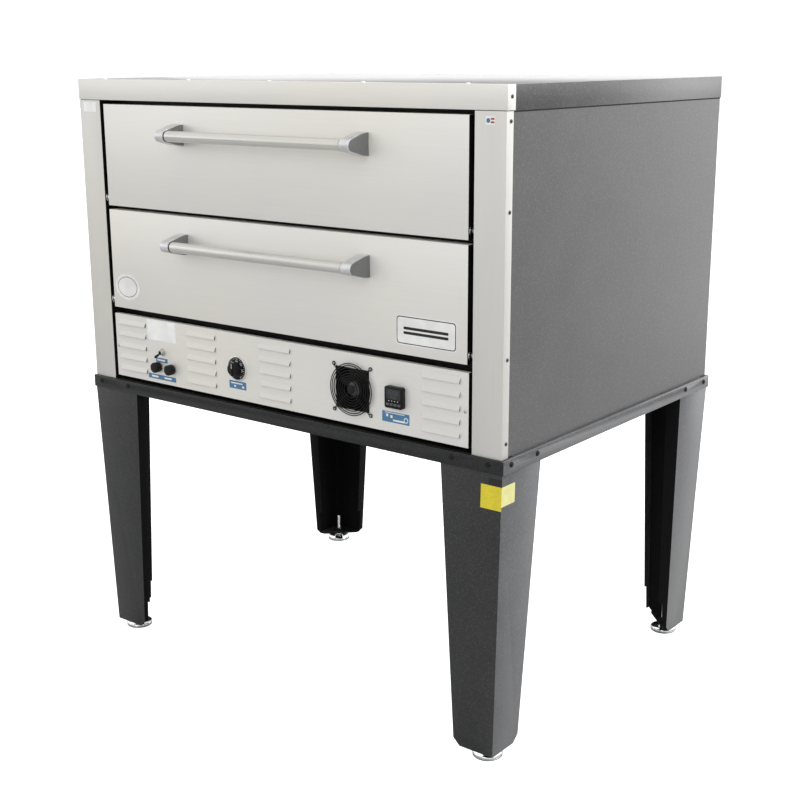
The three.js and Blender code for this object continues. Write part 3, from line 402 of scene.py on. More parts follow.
def baked_paint(name, shade, fleck, rough=0.40, coat=1.0, specular=0.5):
    """Baked paint with a fine mottle, pale flecks, rubbed edges and a little dust."""
    made, tree, surface, place = blank_finish(
        name, specular_ior_level=specular, coat_weight=coat, coat_roughness=0.34)
    speckle = use(tree, baked_speckle(), {"Place": place, "Scale": 190.0, "Fleck Share": 0.34})
    edge = rubbed(tree, place, 0.0016, 45.0)
    dust = use(tree, settled_dust(), {"Place": place, "Amount": 0.12})
    base = shades(tree, speckle["Mottle"], shade, 0.55, 1.45, 0.36, 0.64)
    base = tint(tree, maths(tree, "MULTIPLY", speckle["Fleck"], 0.75), base, fleck)
    base = tint(tree, maths(tree, "MULTIPLY", edge["Mask"], 0.30), base, RUBBED_PAINT)
    base = tint(tree, dust["Mask"], base, DUST)
    roughness = spread(tree, speckle["Mottle"], rough - 0.07, rough + 0.09, 0.3, 0.7)
    dress(tree, surface, base, roughness, speckle["Height"], 0.00012, 0.8, edge["Rounded"])
    return made


def bright_metal(name, shade, rough=0.14, scale=40.0):
    """Plated or polished metal, slightly clouded."""
    made, tree, surface, place = blank_finish(name, metallic=1.0)
    cloud = noise(tree, place, scale, 5.0)
    base = shades(tree, cloud, shade, 0.88, 1.06, 0.35, 0.65)
    dress(tree, surface, base, spread(tree, cloud, rough * 0.7, rough * 1.6, 0.3, 0.7), cloud,
          0.00003, 0.4, rubbed(tree, place, 0.0006, 120.0)["Rounded"])
    return made


def moulded(name, shade, rough=0.42, specular=0.5):
    """Moulded plastic or black enamel with a fine satin skin."""
    made, tree, surface, place = blank_finish(name, specular_ior_level=specular)
    skin = noise(tree, place, 900.0, 3.0)
    cloud = noise(tree, place, 22.0, 4.0)
    edge = rubbed(tree, place, 0.0007, 180.0)
    base = shades(tree, cloud, shade, 0.82, 1.2, 0.35, 0.65)
    worn = tuple(part * 1.2 + 0.025 for part in shade)
    base = tint(tree, maths(tree, "MULTIPLY", edge["Mask"], 0.4), base, worn)
    dress(tree, surface, base, spread(tree, cloud, rough - 0.06, rough + 0.08, 0.3, 0.7), skin,
          0.00003, 0.5, edge["Rounded"])
    return made


def fired_stone(name, shade):
    """Cordierite hearth stone: pores, pale grit and browned patches from baking."""
    made, tree, surface, place = blank_finish(name, specular_ior_level=0.2)
    grit = add(tree, "ShaderNodeTexVoronoi", {
        "Vector": place, "Scale": 420.0}).outputs["Distance"]
    body = noise(tree, place, 90.0, 6.0)
    scorch = noise(tree, place, 5.0, 5.0, distortion=0.8)
    base = shades(tree, body, shade, 0.8, 1.18)
    base = tint(tree, spread(tree, scorch, 0, 0.55, 0.52, 0.72), base, SCORCHED_STONE)
    base = tint(tree, spread(tree, grit, 0.35, 0, 0.0, 0.16), base, PALE_GRIT)
    dress(tree, surface, base, spread(tree, body, 0.78, 0.96, 0.3, 0.7),
          maths(tree, "ADD", grit, body), 0.00025, 0.8)
    return made


def matted_wool(name, shade):
    """Matted mineral wool."""
    made, tree, surface, place = blank_finish(name, specular_ior_level=0.1)
    flat = stretched(tree, place, (1.0, 1.0, 6.0))
    fibre = noise(tree, flat, 160.0, 8.0, 0.75, 1.5)
    dress(tree, surface, shades(tree, fibre, shade, 0.6, 1.3), spread(tree, fibre, 0.85, 1.0),
          fibre, 0.0015)
    return made


def printed(name, shade, second=None, spots=0.0):
    """Printed film or paper with slight yellowing, and faint print specks where asked."""
    made, tree, surface, place = blank_finish(name, specular_ior_level=0.4)
    fade = noise(tree, place, 35.0, 4.0)
    base = shades(tree, fade, shade, 0.92, 1.06)
    if spots:
        marks = noise(tree, stretched(tree, place, (1.0, 1.0, 2.2)), 420.0)
        base = tint(tree, spread(tree, marks, 0, spots, 0.5, 0.72), base, second)
    dress(tree, surface, base, spread(tree, fade, 0.35, 0.5, 0.3, 0.7), fade, 0.00004, 0.5)
    return made


FINISH_MAKERS = {
    "door_steel": lambda s: brushed_sheet("Door steel", s.stainless),
    "stile_steel": lambda s: brushed_sheet("Stile steel", scaled(s.stainless, 0.86), "Z"),
    # A darker copy of the stainless for the stiles' outward side strips: painted shade against the
    # side light.
    "shaded_strip_steel": lambda s: brushed_sheet("Side strip steel", scaled(s.stainless, 0.77), "Z"),
    # A darker copy of the stainless for the louvre hoods' slanted faces: painted shade.
    "shaded_hood_steel": lambda s: brushed_sheet("Louvre hood steel", scaled(s.stainless, 0.86)),
    "bar_steel": lambda s: brushed_sheet(
        "Handle bar steel", scaled(s.stainless, 0.85), metallic=0.8, rough=(0.24, 0.34),
        contrast=0.10),
    "liner_steel": lambda s: brushed_sheet(
        "Aluminised liner", (0.36, 0.36, 0.36), metallic=0.8, rough=(0.38, 0.55), contrast=0.18),
    "cast_steel": lambda s: bright_metal("Cast bracket", (0.74, 0.74, 0.75), 0.40, 70.0),
    # A darker copy of the cast bracket metal for the brackets' flat flanks: painted shade.
    "shaded_cast_flank": lambda s: bright_metal("Cast bracket flank", (0.27, 0.275, 0.285), 0.42, 70.0),
    "chrome": lambda s: bright_metal("Chrome plate", (0.78, 0.79, 0.80), 0.09),
    "nickel": lambda s: bright_metal("Nickel plate", (0.62, 0.61, 0.58), 0.24),
    "screw_steel": lambda s: bright_metal("Blackened screw", (0.09, 0.09, 0.09), 0.34),
    "element_steel": lambda s: bright_metal("Heating element sheath", (0.20, 0.185, 0.17), 0.42),
    "body_paint": lambda s: baked_paint("Body paint", s.body_paint, (0.16, 0.16, 0.16)),
    "stand_paint": lambda s: baked_paint(
        "Stand paint", s.stand_paint, (0.075, 0.075, 0.08), coat=0.55, specular=0.35),
    # A darker copy of the stand paint for the front and back rails: painted shade.
    "shaded_rail_paint": lambda s: baked_paint(
        "Stand paint on the end rails", scaled(s.stand_paint, 0.8), (0.05, 0.05, 0.053),
        coat=0.2, specular=0.3),
    # A lighter copy of the stand paint for faces that look sideways: painted light, on the legs'
    # outward sides and the side rails.
    "lit_side_paint": lambda s: baked_paint(
        "Stand paint on the leg sides", scaled(s.stand_paint, 4.6), (0.16, 0.16, 0.165),
        specular=0.6),
    # A near-black copy of the stand paint for the legs' inner faces: painted shade.
    "shaded_leg_inside": lambda s: baked_paint(
        "Thin paint inside the legs", (0.0035, 0.0036, 0.004), (0.008, 0.008, 0.009),
        rough=0.6, coat=0.0, specular=0.12),
    "black_enamel": lambda s: moulded("Black enamel", (0.006, 0.006, 0.006), 0.5, 0.25),
    "black_plastic": lambda s: moulded("Black plastic", (0.005, 0.005, 0.006), 0.36, 0.22),
    "grey_plastic": lambda s: moulded("Grey plastic", (0.10, 0.10, 0.105), 0.5),
    "glass_window": lambda s: moulded("Dark display window", (0.016, 0.018, 0.02), 0.12),
    "hearth": lambda s: fired_stone("Hearth stone", s.hearth),
    "wool": lambda s: matted_wool("Mineral wool", s.mineral_wool),
    "label_blue": lambda s: printed("Blue label film", s.label_blue),
    "label_yellow": lambda s: printed(
        "Yellow label film", s.label_yellow, (0.36, 0.28, 0.01), 0.7),
    # A paler copy of the yellow film for the caution label's part on the leg's side: painted light.
    "label_lit_yellow": lambda s: printed(
        "Pale yellow label film", (0.70, 0.68, 0.30), (0.52, 0.47, 0.10), 0.3),
    "label_white": lambda s: printed("White label film", (0.82, 0.82, 0.80)),
    "label_paper": lambda s: printed(
        "Paper label", (0.93, 0.94, 0.92), (0.60, 0.60, 0.59), 0.45),
    "label_black": lambda s: printed("Black print", (0.012, 0.012, 0.014)),
    "label_red": lambda s: printed("Red print", (0.42, 0.07, 0.06)),
}


def finish(name):
    """The named finish, made the first time that it is asked for."""
    key = "finish:" + name
    kept = bpy.context.scene.get(key)
    if kept:
        return bpy.data.materials[kept]
    made = FINISH_MAKERS[name](bpy.context.scene.oven_finishes)
    bpy.context.scene[key] = made.name
    return made


FRAME_FINISHES = {
    "door_steel": ("top_fascia", "upper_door_skin", "lower_door_skin", "control_panel"),
    "stile_steel": ("left_stile", "right_stile"),
    "bar_steel": ("upper_handle_bar", "lower_handle_bar"),
    "cast_steel": [f"{level}_handle_bracket_{side}" for level in LEVELS for side in SIDES],
    "body_paint": ("top_cover", "left_side_panel", "right_side_panel", "back_panel",
                   "bottom_panel"),
    "stand_paint": ["front_rail", "back_rail", "left_rail", "right_rail"]
                   + [f"{corner}_leg" for corner in CORNERS],
    "black_enamel": ("front_frame", "fan_guard"),
    "chrome": [f"{corner}_foot" for corner in CORNERS],
    "nickel": ("upper_hinge_rod", "lower_hinge_rod", "switch_body"),
    "liner_steel": ("chamber_liner", "upper_door_liner", "lower_door_liner"),
    "hearth": ("upper_deck", "lower_deck"),
    "wool": ("insulation_wrap", "upper_door_insulation", "lower_door_insulation"),
    "element_steel": [f"{level}_{place}_element" for level in LEVELS
                      for place in ("top", "bottom")],
    "black_plastic": ("fan_frame", "fan_rotor", "thermostat_knob", "controller_case",
                      "switch_lever", "fuse_cap_left", "fuse_cap_right", "terminal_block"),
    "grey_plastic": ["thermostat_body", "fuse_block"] + BUTTONS,
}


# ---------------------------------------------------------------- Shape helpers

def turned(bm, profile, centre, axis, steps=32):
    """Turns an outline of (radius, distance along the axis) points a full circle about the axis."""
    side = axis.orthogonal().normalized()
    points = [bm.verts.new(centre + side * radius + axis * along) for radius, along in profile]
    lines = [bm.edges.new(pair) for pair in zip(points, points[1:])]
    full_spin(bm, points + lines, centre, axis, steps)


def full_spin(bm, geometry, centre, axis, steps):
    bmesh.ops.spin(bm, geom=geometry, cent=centre, axis=axis, angle=FULL_TURN, steps=steps,
                   use_merge=True, use_duplicate=False)


def ring_outline(radius, *points):
    """An outline whose points are given in millimetres out from a radius and along the axis."""
    return [(radius + out * MM, along * MM) for out, along in points]


def wire_ring(bm, centre, axis, radius, wire, steps=48, sides=8):
    """A round wire bent into a ring."""
    side = axis.orthogonal().normalized()
    frame_turn = Matrix((side, axis, side.cross(axis))).transposed().to_4x4()
    place = Matrix.Translation(centre + side * radius) @ frame_turn
    made = bmesh.ops.create_circle(bm, segments=sides, radius=wire / 2, matrix=place,
                                   cap_ends=False)
    edges = list({edge for vert in made["verts"] for edge in vert.link_edges})
    full_spin(bm, made["verts"] + edges, centre, axis, steps)


def wire_rod(bm, start, end, wire, sides=8):
    """A straight round wire between two points."""
    along = end - start
    turn = along.to_track_quat("Z", "Y").to_matrix().to_4x4()
    place = Matrix.Translation((start + end) / 2) @ turn
    bmesh.ops.create_cone(bm, cap_ends=True, segments=sides, radius1=wire / 2, radius2=wire / 2,
                          depth=along.length, matrix=place)


def rounded_edges(bm, edges, width, segments=2):
    bmesh.ops.bevel(bm, geom=list(edges), offset=width, offset_type="OFFSET", affect="EDGES",
                    segments=segments, profile=0.5, material=-1, clamp_overlap=True)


def block(bm, low, high):
    """A block between two corners. Returns its vertices."""
    place = Matrix.Translation((low + high) / 2) @ Matrix.Diagonal((*(high - low), 1))
    return bmesh.ops.create_cube(bm, size=1, matrix=place)["verts"]


def plate(bm, low, high, corner, axis=Y_AXIS, segments=4):
    """A flat plate between two corners, with its four corners rounded about the given axis."""
    verts = block(bm, low, high)
    edges = {edge for vert in verts for edge in vert.link_edges}
    across = [edge for edge in edges
              if abs((edge.verts[0].co - edge.verts[1].co).normalized().dot(axis)) > 0.99]
    if corner > 0:
        rounded_edges(bm, across, corner, segments)


def cross_headed_screw(bm, centre, out, diameter, height):
    """A pan-head screw with a cross recess. The head is lofted outwards from the recess floor."""
    corners = 16
    radius = diameter / 2
    side = out.orthogonal().normalized()
    turn = Matrix((side, out.cross(side), out)).transposed().to_4x4()
    ring = bmesh.ops.create_circle(bm, segments=corners, radius=1, cap_ends=True,
                                   matrix=Matrix.Translation(centre) @ turn)["verts"]
    directions = [(vert.co - centre).normalized() for vert in ring]
    # Shares of the head's radius and height, from the recess floor to the seat.
    recess = [0.52 if index % 4 in (0, 1) else 0.20 for index in range(corners)]
    loops = ((recess, 0.35), (recess, 1), ([0.62] * corners, 0.98), ([0.9] * corners, 0.62),
             ([1] * corners, 0.2), ([1] * corners, 0))
    for number, (radii, level) in enumerate(loops):
        if number:
            edges = [edge for edge in {edge for vert in ring for edge in vert.link_edges}
                     if edge.verts[0] in ring and edge.verts[1] in ring]
            grown = bmesh.ops.extrude_edge_only(bm, edges=edges)["geom"]
            fresh = [item for item in grown if isinstance(item, bmesh.types.BMVert)]
            ring = [min(fresh, key=lambda new, old=old: (new.co - old.co).length)
                    for old in ring]
        for vert, direction, share in zip(ring, directions, radii):
            vert.co = centre + direction * share * radius + out * level * height


def piece(bm, name, finish_name, body, slot, smooth_below=math.radians(35)):
    """Makes an object of a bmesh, gives it its finish, and lets it ride on a frame body."""
    bmesh.ops.remove_doubles(bm, verts=bm.verts, dist=1e-6)
    bmesh.ops.recalc_face_normals(bm, faces=bm.faces)
    mesh = bpy.data.meshes.new(name)
    bm.to_mesh(mesh)
    bm.free()
    made = bpy.data.objects.new(name, mesh)
    bpy.context.scene.collection.objects.link(made)
    mesh.materials.append(finish(finish_name))
    mesh.shade_smooth()
    mesh.set_sharp_from_angle(angle=smooth_below)
    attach(made, body)
    return made


def turned_piece(outline, centre, axis, steps, *looks, **options):
    """A piece of one turned outline. Looks are its name, finish, body and slot; the slot is not
    used.
    """
    bm = bmesh.new()
    turned(bm, outline, centre, axis, steps)
    return piece(bm, *looks, **options)


def rounded_copy(node, suffix, finish_name, slot, width, segments=2, filled=False):
    """A copy of a frame piece with rounded edges, which stands for it. Filled has no hollows."""
    sharp, flat = math.radians(25), math.radians(0.5)
    source = frame["nodes"][node]
    bm = bmesh.new()
    bm.from_mesh(source.data)
    bmesh.ops.remove_doubles(bm, verts=bm.verts, dist=2e-6)
    if filled:
        bmesh.ops.delete(bm, geom=bm.edges[:], context="EDGES_FACES")
        bmesh.ops.convex_hull(bm, input=bm.verts)
        loose = [vert for vert in bm.verts if not vert.link_faces]
        bmesh.ops.delete(bm, geom=loose, context="VERTS")
    bmesh.ops.dissolve_limit(bm, angle_limit=flat, verts=bm.verts, edges=bm.edges,
                             use_dissolve_boundaries=False, delimit=set())
    bmesh.ops.recalc_face_normals(bm, faces=bm.faces)
    edges = [edge for edge in bm.edges if edge.is_manifold and edge.calc_face_angle(0) > sharp]
    rounded_edges(bm, edges, width, segments)
    made = piece(bm, f"{node}_{suffix}", finish_name, source["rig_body"], slot)
    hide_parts(node)
    return made


def refinish(made, finish_name, chosen):
    """Gives the chosen faces of a piece a second finish."""
    made.data.materials.append(finish(finish_name))
    for face in made.data.polygons:
        if chosen(face):
            face.material_index = len(made.data.materials) - 1


# ---------------------------------------------------------------- Operators

class OVEN_OT_frame_finishes(bpy.types.Operator):
    """Gives every frame piece its finish"""
    bl_idname = "oven.frame_finishes"
    bl_label = "Finish the frame"

    def execute(self, context):
        for finish_name, nodes in FRAME_FINISHES.items():
            for node in nodes:
                mesh = frame["nodes"][node].data
                mesh.materials.clear()
                mesh.materials.append(finish(finish_name))
        return {"FINISHED"}


class OVEN_OT_sheet_edges(bpy.types.Operator):
    """Rounds the folded edges of the doors, cover and stiles"""
    bl_idname = "oven.sheet_edges"
    bl_label = "Sheet edges"

    def execute(self, context):
        width = context.scene.oven_sizes.sheet_edge
        rounded_copy("top_fascia", "folded", "door_steel", "stainless", width)
        for level in LEVELS:
            made = rounded_copy(f"{level}_door_skin", "folded", "door_steel", "stainless", width)
            # The door skins' faces that look along x are made black: painted shade in the gaps
            # beside the doors.
            refinish(made, "black_enamel", lambda face: abs(face.normal.x) > 0.9)
        for side, out in SIDES.items():
            made = rounded_copy(f"{side}_stile", "folded", "stile_steel", "stainless", width)
            # The outward side strip takes the darker copy of the steel: painted shade.
            refinish(made, "shaded_strip_steel", lambda face: face.normal.x * out > 0.9)
            # The stiles' faces towards the doors are made black: painted shade in the same gaps.
            refinish(made, "black_enamel", lambda face: face.normal.x * out < -0.9)
        self.control_panel(width * 0.5)
        rounded_copy("top_cover", "folded", "body_paint", "grey_paint", width)
        for level in LEVELS:
            rounded_copy(f"{level}_deck", "stone", "hearth", "hearth", 2.5 * MM, 3)
        self.cover_seam()
        self.bottom_sill()
        return {"FINISHED"}

    def control_panel(self, width):
        """The louvred panel. Its hoods lean upwards, so their slant tells them apart."""
        made = rounded_copy("control_panel", "folded", "door_steel", "stainless", width)
        made.data.set_sharp_from_angle(angle=math.radians(5))
        # The hoods' slanted faces take the darker copy of the steel: painted shade.
        refinish(made, "shaded_hood_steel",
                 lambda face: face.normal.y < -0.5 and 0.1 < face.normal.z < 0.8)
        # The panel's faces that look along x, the hoods' ends among them, are made black: painted
        # shade at the hoods' open ends.
        refinish(made, "black_enamel", lambda face: abs(face.normal.x) > 0.9)

    def cover_seam(self):
        """A black strip just below the cover's skirt, at both sides and the back: painted shadow of
        the seam.
        """
        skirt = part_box("top_cover")[0].z
        low_z, high_z, proud = skirt - 3.0 * MM, skirt - 0.1 * MM, 0.5 * MM
        back_low, back_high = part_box("back_panel")
        bm = bmesh.new()
        for side, out in SIDES.items():
            node = f"{side}_side_panel"
            low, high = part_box(node)
            face = outer(node, out)
            block(bm, Vector((min(face, face + out * proud), low.y + 20 * MM, low_z)),
                  Vector((max(face, face + out * proud), high.y, high_z)))
        block(bm, Vector((back_low.x, back_high.y, low_z)),
              Vector((back_high.x, back_high.y + proud, high_z)))
        rounded_edges(bm, bm.edges, 0.15 * MM, 1)
        piece(bm, "cover_seam_bead", "black_enamel", "oven_body", "black_enamel")

    def bottom_sill(self):
        """The dark sill that closes the gap below the control panel."""
        low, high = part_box("bottom_panel")
        bm = bmesh.new()
        plate(bm, Vector((PANEL_LOW.x, PANEL_FACE, low.z)),
              Vector((PANEL_HIGH.x, low.y - 0.3 * MM, high.z)), 1 * MM, Z_AXIS)
        piece(bm, "bottom_sill", "black_enamel", "oven_body", "black_enamel")


class OVEN_OT_handles(bpy.types.Operator):
    """Rounds the cast handle brackets and adds the collars at the bar's ends"""
    bl_idname = "oven.handles"
    bl_label = "Handles"

    def execute(self, context):
        for level in LEVELS:
            bar = f"{level}_handle_bar"
            centre = middle(bar)
            radius = (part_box(bar)[1].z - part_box(bar)[0].z) / 2
            outline = ring_outline(radius, (-1, 1), (0.1, 1), (0.7, 1.6), (0.7, 3.2), (0.1, 3.8),
                                   (-1, 3.8), (-1, 1))
            for side, out in SIDES.items():
                made = rounded_copy(f"{level}_handle_bracket_{side}", "cast", "cast_steel",
                                    "stainless", 1.6 * MM, 4, filled=True)
                # The brackets' flat flanks take the darker copy of the metal: painted shade.
                refinish(made, "shaded_cast_flank", lambda face: abs(face.normal.x) > 0.9)
                start = Vector((outer(bar, out), centre.y, centre.z))
                # The left collar is black: painted shade of the gap between the bar and the left
                # bracket. The right one is nickel.
                collar = "black_enamel" if side == "left" else "nickel"
                turned_piece(outline, start, X_AXIS * -out, 40, f"{level}_bar_collar_{side}",
                             collar, f"{level}_door", "stainless")
        return {"FINISHED"}


class OVEN_OT_hinge_bushings(bpy.types.Operator):
    """Adds the flanged bushings that carry the door pins, and the washers beside them"""
    bl_idname = "oven.hinge_bushings"
    bl_label = "Hinge bushings"

    def execute(self, context):
        radius = context.scene.oven_sizes.bushing / 2
        for level in LEVELS:
            hinge = f"{level}_hinge_rod"
            rod = middle(hinge)
            bore = (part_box(hinge)[1].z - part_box(hinge)[0].z) / 2 + 0.15 * MM
            bushing = (ring_outline(bore, (0, 0))
                       + ring_outline(radius, (-1.2, 0), (0, 0.8), (0, 2), (-1, 2.8))
                       + ring_outline(bore, (3, 2.8), (2.4, 5.6), (0, 5.6), (0, 0)))
            washer = ring_outline(radius, (-3.4, 0), (-1, 0), (-1, -0.7), (-1.6, -1.2),
                                  (-3.4, -1.2), (-3.4, 0))
            for side, out in SIDES.items():
                inward = X_AXIS * -out
                seat = outer(f"{side}_stile", -out)
                start = Vector((seat, rod.y, rod.z)) + inward * 0.1 * MM
                turned_piece(bushing, start, inward, 36, f"{level}_hinge_bushing_{side}",
                             "chrome", "oven_body", "chrome")
                start.x = outer(f"{level}_door_skin", out)
                turned_piece(washer, start, inward, 36, f"{level}_hinge_washer_{side}",
                             "chrome", f"{level}_door", "chrome")
        return {"FINISHED"}


# Where the sheet screws sit, in millimetres.
SCREW_TALL, BACK_SCREW_TALL = 2.1, 1.3
STRIP_SCREW_DEPTH, STRIP_SCREW_HEIGHTS, FASCIA_SCREW_HEIGHT = 15, (33, 210, 508, 684), 731
PANEL_SCREW_X, PANEL_SCREW_HEIGHT = (-543, 544), 90
BACK_SCREW_INSET = 14


class OVEN_OT_screws(bpy.types.Operator):
    """Adds the sheet screws of the stiles, fascia, control panel and back"""
    bl_idname = "oven.screws"
    bl_label = "Sheet screws"

    def execute(self, context):
        head = context.scene.oven_sizes.screw_head
        for side, out in SIDES.items():
            spots = [(STRIP_X, height) for height in STRIP_SCREW_HEIGHTS]
            spots.append((FASCIA_X, FASCIA_SCREW_HEIGHT))
            places = [at(0, STRIP_SCREW_DEPTH, height) + X_AXIS * out * reach
                      for reach, height in spots]
            self.row(f"{side}_strip_screws", "screw_steel", places, X_AXIS * out, head,
                     SCREW_TALL)
        places = [at(x, 0, PANEL_SCREW_HEIGHT) for x in PANEL_SCREW_X]
        for spot in places:
            spot.y = PANEL_FACE
        self.row("panel_screws", "nickel", places, -Y_AXIS, head, SCREW_TALL)
        low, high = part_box("back_panel")
        inset = BACK_SCREW_INSET * MM
        wide, tall = high.x - low.x - 2 * inset, high.z - low.z - 6 * inset
        across = [low.x + inset + share * wide for share in (0, 0.25, 0.5, 0.75, 1)]
        upward = [low.z + inset + share * tall for share in (0, 0.333, 0.667, 1)]
        spots = [(x, z) for x in across for z in (upward[0], upward[-1])]
        spots += [(x, z) for x in (across[0], across[-1]) for z in upward[1:-1]]
        places = [Vector((x, high.y, z)) for x, z in spots]
        self.row("back_panel_screws", "nickel", places, Y_AXIS, head, BACK_SCREW_TALL)
        return {"FINISHED"}

    def row(self, name, finish_name, places, out, head, tall):
        bm = bmesh.new()
        for place in places:
            cross_headed_screw(bm, place, out, head, tall * MM)
        piece(bm, name, finish_name, "oven_body", "element_steel")


# Flat shapes are spans of x, x, z and z, and corner radii, in millimetres.
PANEL_LABELS = (
    ("rating_paper", "label_paper", (-433, -331, 121, 171), 1.0),
    ("switch_label", "label_blue", (-406, -364, 66, 77), 0.8),
    ("fuse_label", "label_blue", (-436, -336, 21, 33), 0.8),
    ("thermostat_label", "label_blue", (-148, -92, 38, 57), 0.8),
    ("controller_label", "label_blue", (322, 397, 34, 58), 0.8),
)
PRINT_BARS = (
    (-401, -373, 69.5, 73.5), (-424, -400, 25, 29.5), (-378, -352, 25, 29.5),
    (-142, -104, 50, 53), (-132, -126, 42, 46.5), (-106, -99, 42, 46.5), (333, 339, 46, 52),
    (345, 351, 44, 50), (352, 384, 37.5, 41.5), (330, 384, 54.5, 56.2),
)
# The door's plate: its white rim, black line and white field, each prouder than the last.
PLATE_LAYERS = (
    ("door_plate_back", "label_white", (363, 523.5, 212, 276.5), 9, 2.0),
    ("door_plate_border", "label_black", (365.5, 521, 214.5, 274), 7.5, 2.5),
    ("door_plate", "label_white", (367.5, 519, 216.5, 272), 6.5, 3.0),
)
PLATE_STRIPES = ((384, 502, 236, 242), (384, 502, 246, 252))
# The oval's layers: half width, half height, and how many labels thick.
OVAL_LAYERS = (
    ("oval_sticker", "label_white", 45, 33, 1.5),
    ("oval_sticker_ring", "label_black", 36, 26, 1.8),
    ("oval_sticker_field", "label_white", 34.6, 24.6, 2.1),
)
# The leg's label: width, and the drops of its top and bottom below the leg's top corner.
# The label's side part takes the paler copy of the yellow film: painted light on the lit side.
CAUTION_PARTS = (
    ("caution_label_front", "label_yellow", (-X_AXIS, -Y_AXIS), 52, 54, 107),
    ("caution_label_side", "label_lit_yellow", (Y_AXIS, X_AXIS), 50, 54, 98),
    ("caution_label_patch", "label_black", (-X_AXIS, -Y_AXIS), 33, 38, 54),
)


class OVEN_OT_labels(bpy.types.Operator):
    """Adds the plain labels and stickers, without any lettering"""
    bl_idname = "oven.labels"
    bl_label = "Labels"

    def execute(self, context):
        thick = context.scene.oven_sizes.label_thickness
        for name, finish_name, span, corner in PANEL_LABELS:
            self.flat_label(name, finish_name, span, corner, thick, PANEL_FACE)
        self.panel_print(thick)
        self.door_plate(thick)
        self.oval(thick)
        self.stile_stickers(thick)
        self.caution_label(thick)
        return {"FINISHED"}

    def raised(self, bm, spans, corner, face, top, bottom=0, segments=4):
        """Flat shapes that reach from bottom to top in front of a face."""
        for x0, x1, z0, z1 in spans:
            low, high = at(x0, 0, z0), at(x1, 0, z1)
            low.y, high.y = face - top, face - bottom
            plate(bm, low, high, corner * MM, segments=segments)

    def flat_label(self, name, finish_name, span, corner, thick, face, body="oven_body"):
        bm = bmesh.new()
        self.raised(bm, [span], corner, face, thick)
        piece(bm, name, finish_name, body, "stainless")

    def panel_print(self, thick):
        """Short white bars and a ring that stand for the print on the blue labels."""
        bm = bmesh.new()
        self.raised(bm, PRINT_BARS, 0.5, PANEL_FACE, 1.5 * thick, 0.9 * thick, segments=2)
        centre = at(388, 0, 44)
        centre.y = PANEL_FACE - 1.2 * thick
        inner, rim, half = 4.2 * MM, 6.0 * MM, 0.3 * thick
        turned(bm, [(inner, -half), (rim, -half), (rim, half), (inner, half), (inner, -half)],
               centre, -Y_AXIS, 28)
        piece(bm, "label_print", "label_white", "oven_body", "stainless")

    def door_plate(self, thick):
        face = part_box("lower_door_skin")[0].y
        for name, finish_name, span, corner, layers in PLATE_LAYERS:
            self.flat_label(name, finish_name, span, corner, layers * thick, face, "lower_door")
        bm = bmesh.new()
        self.raised(bm, PLATE_STRIPES, 2.5, face, 3.6 * thick, 2.9 * thick)
        piece(bm, "door_plate_stripes", "label_black", "lower_door", "stainless")

    def oval(self, thick):
        centre = at(-496, 0, 246)
        centre.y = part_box("lower_door_skin")[0].y
        for name, finish_name, wide, tall, layers in OVAL_LAYERS:
            deep = layers * thick
            shape = (Matrix.Translation(centre - Y_AXIS * deep / 2)
                     @ Matrix.Diagonal((wide * MM, 1, tall * MM, 1))
                     @ Matrix.Rotation(math.pi / 2, 4, "X"))
            bm = bmesh.new()
            bmesh.ops.create_cone(bm, cap_ends=True, segments=56, radius1=1, radius2=1,
                                  depth=deep, matrix=shape)
            piece(bm, name, finish_name, "lower_door", "stainless")

    def stile_stickers(self, thick):
        """A plain sticker at the top of each stile. The right one has a dot and two bars."""
        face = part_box("right_stile")[0].y
        sticker = "right_stile_sticker"
        self.flat_label(sticker, "label_white", (588, 611, 676, 694), 1, thick, face)
        radius, proud = 4.6 * MM, 1.6 * thick
        turned_piece([(0, 0), (radius, 0), (radius, proud), (0, proud)],
                     Vector((594.5 * MM, face, at(0, 0, 685).z)), -Y_AXIS, 28,
                     f"{sticker}_dot", "label_blue", "oven_body", "stainless")
        for name, low, high in (("upper", 686.5, 690), ("lower", 680, 683.5)):
            self.flat_label(f"{sticker}_{name}_bar", "label_red", (600.5, 609, low, high), 0.5,
                            proud, face)
        self.flat_label("left_stile_sticker", "label_paper", (-624, -578, 675, 699), 1, thick,
                        face)

    def caution_label(self, thick):
        """A label folded round the front right leg's corner, following its leaning faces."""
        places = [vert.co for vert in frame["nodes"]["front_right_leg"].data.vertices]
        corner_top = max(places, key=lambda co: co.z * 4 + co.x - co.y)
        corner_low = min(places, key=lambda co: co.z * 4 - co.x + co.y)
        lean = (corner_low - corner_top) / (corner_top.z - corner_low.z)
        for name, finish_name, (along, out), width, top, bottom in CAUTION_PARTS:
            bm = bmesh.new()
            for vert in bmesh.ops.create_cube(bm, size=1)["verts"]:
                across = width if vert.co.x > 0 else -0.25
                drop = bottom if vert.co.z < 0 else top
                proud = thick if vert.co.y > 0 else 0.05 * thick
                vert.co = (corner_top + lean * (drop * MM) + along * (across * MM)
                           + out * proud)
            piece(bm, name, finish_name, "oven_body", "dark_paint")


# The dial's scale: angles in degrees from the top, and a number at every fourth mark.
DIAL_START, DIAL_STEP, DIAL_MARKS, MARKS_A_NUMBER = -150, 12.5, 25, 4
DIAL_NUMBERS = ("100", "200", "300", "400", "500", "600")


